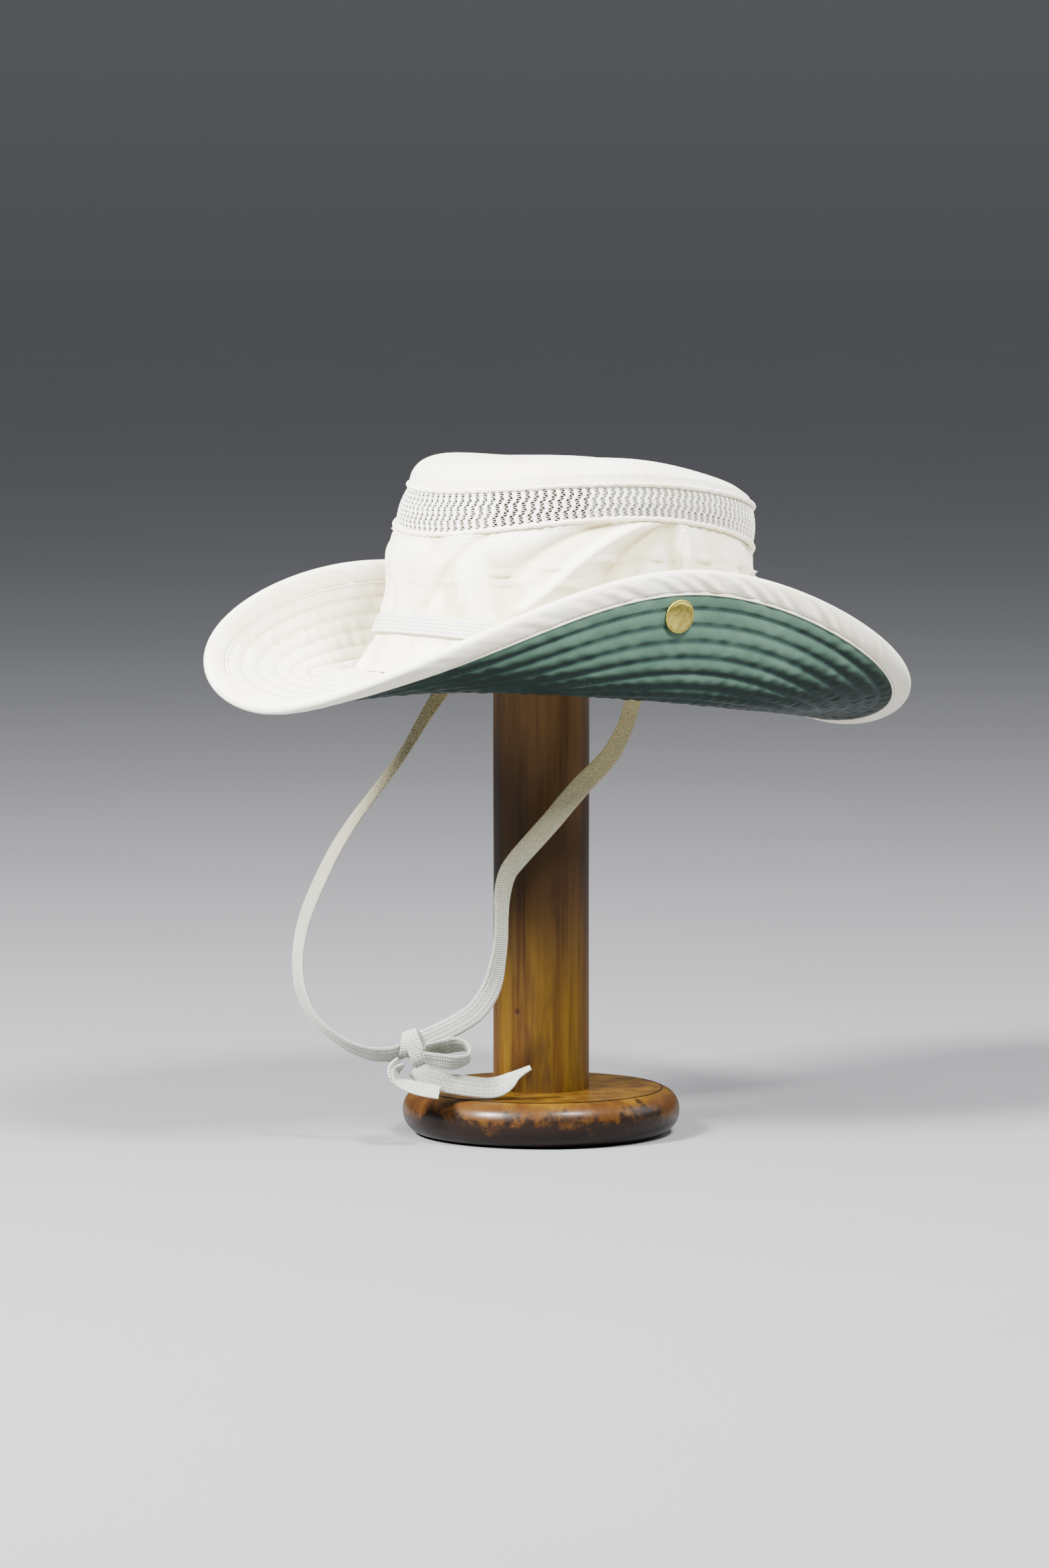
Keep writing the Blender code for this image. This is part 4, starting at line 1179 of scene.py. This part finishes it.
def vent_net():
    values = {
        "Columns": KNIT_COLUMNS,
        "Column pitch": KNIT_PITCH,
        "Rows": KNIT_ROWS,
        "Row pitch": KNIT_ROW_PITCH,
        "Rib wave": 0.58 * MM,
        "Rib radius": 1.08 * MM,
        "Lace radius": 0.40 * MM,
        "Yarn": knit_finish(),
    }
    net = grown(placed("vent_net", bpy.data.meshes.new("vent_net")), knit_tree(), values)
    flat = np.zeros(len(net.data.vertices) * 3, np.float32)
    net.data.vertices.foreach_get("co", flat)
    flat = flat.reshape(-1, 3).astype(float)
    table = np.linspace(0.0, 2.0 * np.pi, 2001)
    gone = way_gone(vent_wall(table, np.full_like(table, 0.5)))
    turn = np.interp((flat[:, 0] / (KNIT_COLUMNS * KNIT_PITCH)) % 1.0 * gone[-1], gone, table)
    height = 0.02 + 0.96 * flat[:, 2] / (KNIT_ROWS * KNIT_ROW_PITCH)
    bent = vent_wall(turn, height) + outwards(turn) * (flat[:, 1:2] * 0.5 - 0.8 * MM)
    net.data.vertices.foreach_set("co", bent.astype(np.float32).ravel())
    net.data.update()
    return net


fitted(vent_net(), "knit", "vent_mesh")

# A piping runs in the seam at each edge of the vent band: a thin cord in a bias strip of the same cotton, so it
# stands up as a bead with small puckers where the stitches pull it.
PIPING_RADIUS = 1.15 * MM
PIPING_SIDES = 14
PIPING_LIFT = 0.25 * MM


def piping(name, ring_name, seed):
    angle = turns_of(700)
    centre = ring(ring_name, angle) + outwards(angle) * PIPING_LIFT
    swell = 1.0 + 0.055 * ripple(angle, (150, 171, 113), seed) + 0.03 * ripple(angle, (19, 33), seed + 1)
    around = turns_of(PIPING_SIDES)[None, :, None]
    way = outwards(angle)[:, None] * np.cos(around) + np.array((0.0, 0.0, 1.0)) * np.sin(around)
    centre[:, 2] += 0.12 * MM * ripple(angle, (61, 77), seed + 2)
    return skin(name, centre[:, None] + PIPING_RADIUS * swell[:, None, None] * way, COTTON_DUCK, True)


fitted(piping("vent_piping_low", "mesh_seam", 21), "cotton", "mesh_piping")
fitted(piping("vent_piping_high", "tip_seam", 31), "cotton", "tip_piping")

# The tip is one oval of the same cotton, which the post holds up in the middle. Its seam allowance is pressed up
# inside, and shows as a ridge a little above the piping, with puckers between the two.
TIP_RINGS = ("tip_seam", "shoulder", "crease", "plateau", "post_top")
TIP_MIDDLE = 314.6


def tip_face(angle, share):
    rows = [ring(name, angle) for name in TIP_RINGS]
    middle = np.zeros_like(rows[0])
    middle[..., 2] = TIP_MIDDLE * MM
    rows[0] = rows[0] + np.array((0.0, 0.0, 0.7 * MM))
    point = smooth_way([*rows, middle], share)
    rim = share * len(TIP_RINGS)
    ridge = 0.45 * hump(rim, 0.62, 0.16) * (0.45 + 0.55 * np.clip(np.sin(angle - 0.4), 0.0, 1.0))
    pucker = 0.30 * ripple(angle + 0.05 * rim, (59, 77, 95), 41) * hump(rim, 0.30, 0.25)
    soft = 0.7 * ripple(angle, (3, 5), 43) * hump(rim, 2.2, 1.1)
    tuck = 0.7 * hump(rim, 0.0, 0.12)
    lift = np.stack((0.0 * rim, 0.0 * rim, (0.4 * ridge + soft) * MM), axis=-1)
    return point + outwards(angle) * (ridge + pucker - tuck)[..., None] * MM + lift


def tip_cloth(steps=420, rows=46):
    angle, share = grid(turns_of(steps), np.linspace(0.0, 1.0, rows) ** 1.15)
    outer = tip_face(angle, share)
    drop = np.minimum(share * len(TIP_RINGS), 1.0)[..., None]
    inner = outer - (outwards(angle) * (1.0 - drop) ** 0.5 + np.array((0.0, 0.0, 1.0)) * drop) * CLOTH
    made = skin("tip_cloth", folded(outer, inner), COTTON_DUCK, True)
    whole = bmesh.new()
    whole.from_mesh(made.data)
    bmesh.ops.remove_doubles(whole, verts=whole.verts, dist=0.01 * MM)
    bmesh.ops.delete(whole, geom=[edge for edge in whole.edges if edge.is_wire], context="EDGES")
    whole.to_mesh(made.data)
    whole.free()
    return made


fitted(tip_cloth(), "cotton", "crown_tip")

# The brim is two layers sewn together in rows that follow its edge: cream duck above and dark green sateen
# below. Between the rows the cloth swells into soft channels, with small slanting puckers that the thread pulls.
BRIM_STEPS = 900
BINDING_WIDTH = 10.5 * MM
LAYER_GAP = 0.15 * MM
LAYER_REST = 0.75
ROOT_INSET = 2.2 * MM
TONGUE = 2.5 * MM
TONGUE_THICK = 0.6 * MM
FIRST_ROW, ROW_SPACING, ROW_COUNT = 0.109, 0.129, 7


def brim_middle(angle, share):
    """The middle of the brim's cloth, from just inside the crown at share 0 to its edge at 1."""
    share = np.asarray(share)[..., None]
    root = ring("root", angle) - ROOT_INSET * outwards(angle)
    return (1 - share) ** 2 * root + 2 * share * (1 - share) * ring("turn", angle) + share**2 * ring("edge", angle)


def binding_share(angle, width=BINDING_WIDTH):
    pace = 2.0 * np.linalg.norm(ring("edge", angle) - ring("turn", angle), axis=-1)
    return 1.0 - width / pace


def even_shares(angle, parts):
    """The brim shares that lie at even parts of the way from the crown to the binding, at each angle."""
    turn, fine = grid(angle, np.linspace(0.0, 1.0, 80))
    share = binding_share(angle)[:, None] * fine
    ways = (way_gone(line) for line in brim_middle(turn, share))
    return np.stack([np.interp(parts * way[-1], way, row) for way, row in zip(ways, share)])


def quilted(angle, part, seed, bulge, pucker):
    """How far a layer swells from the middle of the brim, in millimetres, at a part of the way to the binding."""
    place = (1.0 - part - FIRST_ROW) / ROW_SPACING + 1.0
    channel = np.clip(np.floor(place).astype(int), 0, ROW_COUNT)
    within = np.clip(place, 0.0, ROW_COUNT + 1.0) - channel
    arch = np.abs(np.sin(np.pi * np.clip(within, 0.0, 1.0)))
    draw = np.random.default_rng(seed)
    phase = draw.uniform(0.0, 2.0 * np.pi, (4, ROW_COUNT + 1))
    slant = within * 1.7
    pulls = np.sin(87.0 * angle + phase[0][channel] + slant) * np.sin(19.0 * angle + phase[1][channel])
    pulls = pulls + 0.8 * np.sin(61.0 * angle + phase[2][channel] - slant) * np.sin(31.0 * angle + phase[3][channel])
    return bulge * arch**0.5 + pucker * pulls * arch**0.8


def seam_hollow(part):
    """1 in the seams between the brim's channels, and 0 a little way off them: the share of painted shade there."""
    place = (1.0 - part - FIRST_ROW) / ROW_SPACING
    aside = np.abs(place - np.round(place))
    return hump(aside, 0.0, 0.12) * ((place > -0.5) & (place < ROW_COUNT - 0.5))


def brim_ways(angle, share):
    point, round_way, out_way = ways_on(brim_middle, angle, share)
    return point, round_way, out_way, unit(np.cross(out_way, round_way))


def off_brim(angle, share, away):
    """Points at a distance above the brim's middle, or below it where the distance is negative."""
    point, _, _, normal = brim_ways(angle, share)
    return point + normal * away


def brim_face(sign, seed, bulge, pucker):
    """A function that gives the outer face of the upper (sign 1) or lower (sign -1) layer."""

    def face(angle, share, part):
        swell = quilted(angle, part, seed, bulge, pucker)[..., None]
        return off_brim(angle, share, sign * (LAYER_GAP + (LAYER_REST + swell) * MM))

    return face


def brim_layer(name, sign, columns, face, finish):
    """One layer, from inside the crown to a thin tongue that the binding holds."""
    angles = turns_of(BRIM_STEPS)
    parts, back_parts = np.linspace(0.0, 1.0, columns), np.linspace(1.0, 0.0, 9)
    angle, part = grid(angles, parts)
    outer = face(angle, even_shares(angles, parts), part)
    inner = off_brim(grid(angles, back_parts)[0], even_shares(angles, back_parts), sign * LAYER_GAP)
    held = binding_share(angles, TONGUE)
    tongue = [off_brim(angles, held, sign * away) for away in (LAYER_GAP + TONGUE_THICK, LAYER_GAP)]
    made = skin(name, np.concatenate((outer, np.stack(tongue, axis=1), inner), axis=1), finish, True)
    rest = len(tongue) + len(back_parts)
    # The seams between the channels are marked for painted shade.
    marked(made, "painted_shade", np.concatenate((seam_hollow(part), np.zeros((BRIM_STEPS, rest))), axis=1))
    return made


def brim_rows(name, sign, face, finish):
    """The stitches of the seven rows on one face of the brim."""
    angle = np.linspace(0.0, 2.0 * np.pi, BRIM_STEPS + 1)
    seams = []
    for row in range(ROW_COUNT):
        part = 1.0 - FIRST_ROW - row * ROW_SPACING
        share = even_shares(angle, np.array([part]))[:, 0]
        normal = brim_ways(angle, share)[3] * sign
        seams.append((face(angle, share, np.full_like(angle, part)) + normal * 0.05 * MM, normal))
    return sewn(name, seams, finish)


def sateen_finish():
    """Dark green cotton sateen: long floats that shine softly, painted paler as light where the brim stands up steep
    and darker as shade where it lies flat.

    It gets painted shade along the seams between the channels.
    """
    f = Finish("dark green sateen")
    spot = f.place()
    drift = f.noise(spot, 45.0, 4.0, 0.55)
    fine = f.noise(spot, 1300.0, 3.0, 0.6)
    tone = f.between(drift, 0.35, 0.7)
    dark = f.blend(tone, (0.005, 0.012, 0.009), (0.008, 0.020, 0.015))
    pale = f.blend(tone, (0.062, 0.120, 0.085), (0.092, 0.160, 0.118))
    # Painted light and shade: paler where the face stands steep, darker where it lies flat and faces down.
    facing = f.add("SeparateXYZ", {"Vector": f.add("NewGeometry", {}, "Normal")}, 2)
    upright = f.between(f.math("ABSOLUTE", facing), 0.25, 0.66, 1.0, 0.0)
    colour = f.blend(upright, dark, pale)
    colour = f.blend(f.times(f.between(fine, 0.45, 0.7), 0.12), colour, (0.080, 0.170, 0.125))
    # Painted shade: the seams between the channels are darkened.
    painted_shade = f.add("Attribute", {}, 2, attribute_name="painted_shade")
    colour = f.blend(f.times(painted_shade, 0.75), colour, (0.010, 0.028, 0.030))
    return f.done(
        base_color=colour,
        roughness=f.between(drift, 0.3, 0.7, 0.46, 0.56),
        specular_ior_level=0.12,
        normal=f.bump(fine, 0.00008, 0.35, f.bump(f.noise(spot, 200.0, 3.0), 0.0004, 0.3)),
    )


YELLOWED_THREAD = thread_finish("yellowed sewing thread", (0.50, 0.42, 0.19))
upper_face = brim_face(1.0, 51, 0.95, 0.50)
lower_face = brim_face(-1.0, 53, 1.05, 0.20)
green_thread = thread_finish("dark green thread", (0.008, 0.024, 0.024))
fitted(brim_layer("brim_duck", 1.0, 49, upper_face, COTTON_DUCK), "cotton", "brim_top")
fitted(brim_layer("brim_sateen", -1.0, 65, lower_face, sateen_finish()), "green_lining", "brim_under")
fitted(brim_rows("brim_stitches_top", 1.0, upper_face, YELLOWED_THREAD), "cotton")
fitted(brim_rows("brim_stitches_under", -1.0, lower_face, green_thread), "green_lining")

# The binding is a bias strip of the cream cotton folded over the brim's edge, and sewn through just inside its
# own two edges, which leaves a narrow bead there. It puckers most where the brim is turned up.
BINDING_COLUMNS = 21
BINDING_SEAM = 8.9
BINDING_BEAD = 9.8
BINDING_TURN = 0.9
BINDING_BACK = 1.55
BINDING_REACH, BINDING_HALF = 2.2, 2.3


def binding_relief(angle, width, side):
    """How far the strip's outer face stands off the brim's middle, in millimetres."""
    bend = hump(np.degrees(angle), 92.0, 24.0) + hump(np.degrees(angle), 268.0, 24.0)
    pleats = ripple(angle + width * 0.008 * side, (61, 83, 109), 61) * (0.10 + 0.50 * bend)
    stand = 2.1 + 0.75 * np.sin(np.pi * np.clip(width / BINDING_SEAM, 0.0, 1.0)) ** 0.7
    stand = stand - 0.65 * hump(width, BINDING_SEAM, 0.45) + 0.25 * hump(width, BINDING_BEAD, 0.4)
    return stand + pleats * np.clip(width / 3.0, 0.0, 1.0) * np.clip((BINDING_BEAD - width) / 2.0, 0.15, 1.0)


def binding_face(angle, width, side):
    stand = side * binding_relief(angle, width, side)[..., None]
    return off_brim(angle, binding_share(angle, width * MM), stand * MM)


def binding_strip():
    """The strip: its upper face, the fold round the edge, its lower face, and back along the cloth inside."""
    angles = turns_of(BRIM_STEPS)
    angle, width = grid(angles, np.linspace(BINDING_WIDTH / MM, BINDING_TURN, BINDING_COLUMNS))
    edge, _, out, normal = brim_ways(angles, binding_share(angles, BINDING_TURN * MM))
    fold = [
        edge + (out * BINDING_REACH * math.cos(turn) + normal * BINDING_HALF * math.sin(turn)) * MM
        for turn in np.linspace(np.pi / 2, -np.pi / 2, 10)[1:-1]
    ]
    back = [
        off_brim(angles, binding_share(angles, inset * MM), side * BINDING_BACK * MM)
        for side, insets in ((-1.0, (10.3, 5.0, 1.0)), (1.0, (1.0, 5.0, 10.3)))
        for inset in insets
    ]
    upper, lower = (binding_face(angle, width, side) for side in (1.0, -1.0))
    rings = (upper, np.stack(fold, axis=1), lower[:, ::-1], np.stack(back, axis=1))
    return skin("brim_binding_strip", np.concatenate(rings, axis=1), COTTON_DUCK, True)


def binding_rows():
    angle = np.linspace(0.0, 2.0 * np.pi, BRIM_STEPS + 1)
    for side in (1.0, -1.0):
        normal = brim_ways(angle, binding_share(angle, BINDING_SEAM * MM))[3] * side
        yield binding_face(angle, np.full_like(angle, BINDING_SEAM), side) + normal * 0.06 * MM, normal


fitted(binding_strip(), "cotton", "brim_binding")
fitted(sewn("binding_stitches", binding_rows(), YELLOWED_THREAD), "cotton")

# Two brass snaps hold the brim up against the crown. Each has a plain domed cap with a rolled rim under the brim,
# and a socket on its upper face.
SNAP_SHARE = 0.825
SNAP_ANGLES = {"near": 84.5, "far": 275.5}
SNAP_SKIN = 1.65
CAP_PROFILE = (
    (0.0, 0.0),
    (7.2, 0.0),
    (7.7, 0.3),
    (7.8, 0.85),
    (7.6, 1.35),
    (7.1, 1.6),
    (6.75, 1.5),
    (6.5, 1.62),
    (5.6, 2.0),
    (4.2, 2.32),
    (2.4, 2.53),
    (0.6, 2.6),
    (0.0, 2.6),
)
SOCKET_PROFILE = (
    (0.0, 0.0),
    (5.4, 0.0),
    (5.6, 0.5),
    (5.1, 1.2),
    (4.4, 1.6),
    (3.2, 1.55),
    (2.7, 0.9),
    (2.4, 0.8),
    (0.0, 0.8),
)


def brass_finish():
    """Polished brass that has dulled: brown in its low places, with fine scratches."""
    f = Finish("worn brass")
    spot = f.place()
    cloud = f.noise(spot, 420.0, 4.0, 0.6)
    scratch = f.noise(f.place((1.0, 6.0, 1.0), (0.3, 0.2, 0.7)), 900.0, 3.0, 0.7)
    colour = f.blend(f.between(cloud, 0.35, 0.65), (0.62, 0.52, 0.13), (0.42, 0.34, 0.07))
    return f.done(
        base_color=colour,
        metallic=1.0,
        roughness=f.between(scratch, 0.3, 0.7, 0.24, 0.40),
        normal=f.bump(f.plus(scratch, f.times(cloud, 2.0)), 0.00018, 0.5),
    )


WORN_BRASS = brass_finish()


for side, degrees in SNAP_ANGLES.items():
    point, round_way, _, normal = brim_ways(np.array(math.radians(degrees)), np.array(SNAP_SHARE))
    for half, profile, away, out in (("cap", CAP_PROFILE, 0.1, -normal), ("socket", SOCKET_PROFILE, 0.9, normal)):
        start = point + out * (SNAP_SKIN + away) * MM
        made = turned(f"{side}_{half}", profile, WORN_BRASS, 64, start, out, round_way, 3)
        fitted(made, "brass", f"{side}_snap_{half}")

# An eyelet on each side lets the cord through the crown: a brass ring whose tube is rolled over the cloth.
EYELET_BORE, EYELET_FLANGE, EYELET_HALF, EYELET_LIP = 3.6, 6.6, 1.26, 0.8


def eyelet(side):
    centre, out, level, _ = eyelet_ways(side)
    roll = EYELET_HALF + EYELET_LIP
    upper = (
        (EYELET_BORE + 0.15, roll - 0.5),
        (EYELET_BORE + 0.9, roll),
        (EYELET_BORE + 2.1, roll - 0.1),
        (EYELET_FLANGE, EYELET_HALF + 0.25),
        (EYELET_FLANGE - 0.2, EYELET_HALF),
        (EYELET_BORE + 0.8, EYELET_HALF),
    )
    section = ((EYELET_BORE, 0.0), *upper, *((radius, -rise) for radius, rise in reversed(upper)))
    turn = turns_of(48)[:, None]
    way = level * np.cos(turn) + np.cross(out, level) * np.sin(turn)
    rings = np.stack([centre + MM * (way * radius + out * rise) for radius, rise in section], axis=1)
    return skin(f"{side}_eyelet_ring", rings, WORN_BRASS, True)


for side in EYELET_ANGLES:
    fitted(eyelet(side), "brass", f"{side}_eyelet")

# The studio: a plain pale floor that runs off to a dim backdrop. A broad lamp stands at the upper left, a second
# one high in front and to the right lights the brim's lining, and a weak one stands at the right.
FLOOR_RADIUS = 60.0
FLOOR_SIDES = 96
floor_mesh = bpy.data.meshes.new("floor")
floor_rim = [
    (FLOOR_RADIUS * math.cos(turn), FLOOR_RADIUS * math.sin(turn), -0.2 * MM) for turn in turns_of(FLOOR_SIDES)
]
floor_mesh.from_pydata(floor_rim, [], [list(range(FLOOR_SIDES))])
paper = Finish("pale paper")
paper_tone = paper.blend(paper.noise(paper.place(), 3.0), (0.20, 0.20, 0.21), (0.22, 0.22, 0.23))
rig.stage(placed("floor", floor_mesh, paper.done(base_color=paper_tone, roughness=0.9)))

# Each lamp's name, its place as the eye sees it in millimetres, its size in metres and its power in watts.
LAMPS = (
    ("key", (-1150.0, -950.0, 1350.0), 0.45, 215.0),
    ("front", (750.0, -1050.0, 1900.0), 0.5, 140.0),
    ("right", (1800.0, 300.0, 1100.0), 1.0, 22.0),
)
for name, place, size, power in LAMPS:
    light = bpy.data.lights.new(name, "AREA")
    light.size, light.energy = size, power
    lamp = bpy.data.objects.new(name, light)
    lamp.location = from_view(*place)
    aim = np.array((0.0, 0.0, 0.25)) - np.array(lamp.location)
    lamp.rotation_euler = (math.atan2(math.hypot(aim[0], aim[1]), -aim[2]), 0.0, math.atan2(-aim[0], aim[1]))
    bpy.context.scene.collection.objects.link(lamp)
sky = bpy.data.worlds.new("studio")
sky.use_nodes = True
air = Nodes(sky.node_tree)
height = air.add("SeparateXYZ", {"Vector": air.add("TexCoord", {}, "Generated")}, 2)
strength = air.add("MapRange", {"Value": height, "To Min": 0.09, "To Max": 0.45})
air.fill(sky.node_tree.nodes["Background"], {"Strength": strength, "Color": (0.92, 0.95, 1.0, 1.0)})
bpy.context.scene.world = sky

visual_box = [list(corner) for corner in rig.bounds()]
with open("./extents.json", "w") as sizes:
    json.dump({"cad": cad_box, "visual": visual_box}, sizes)
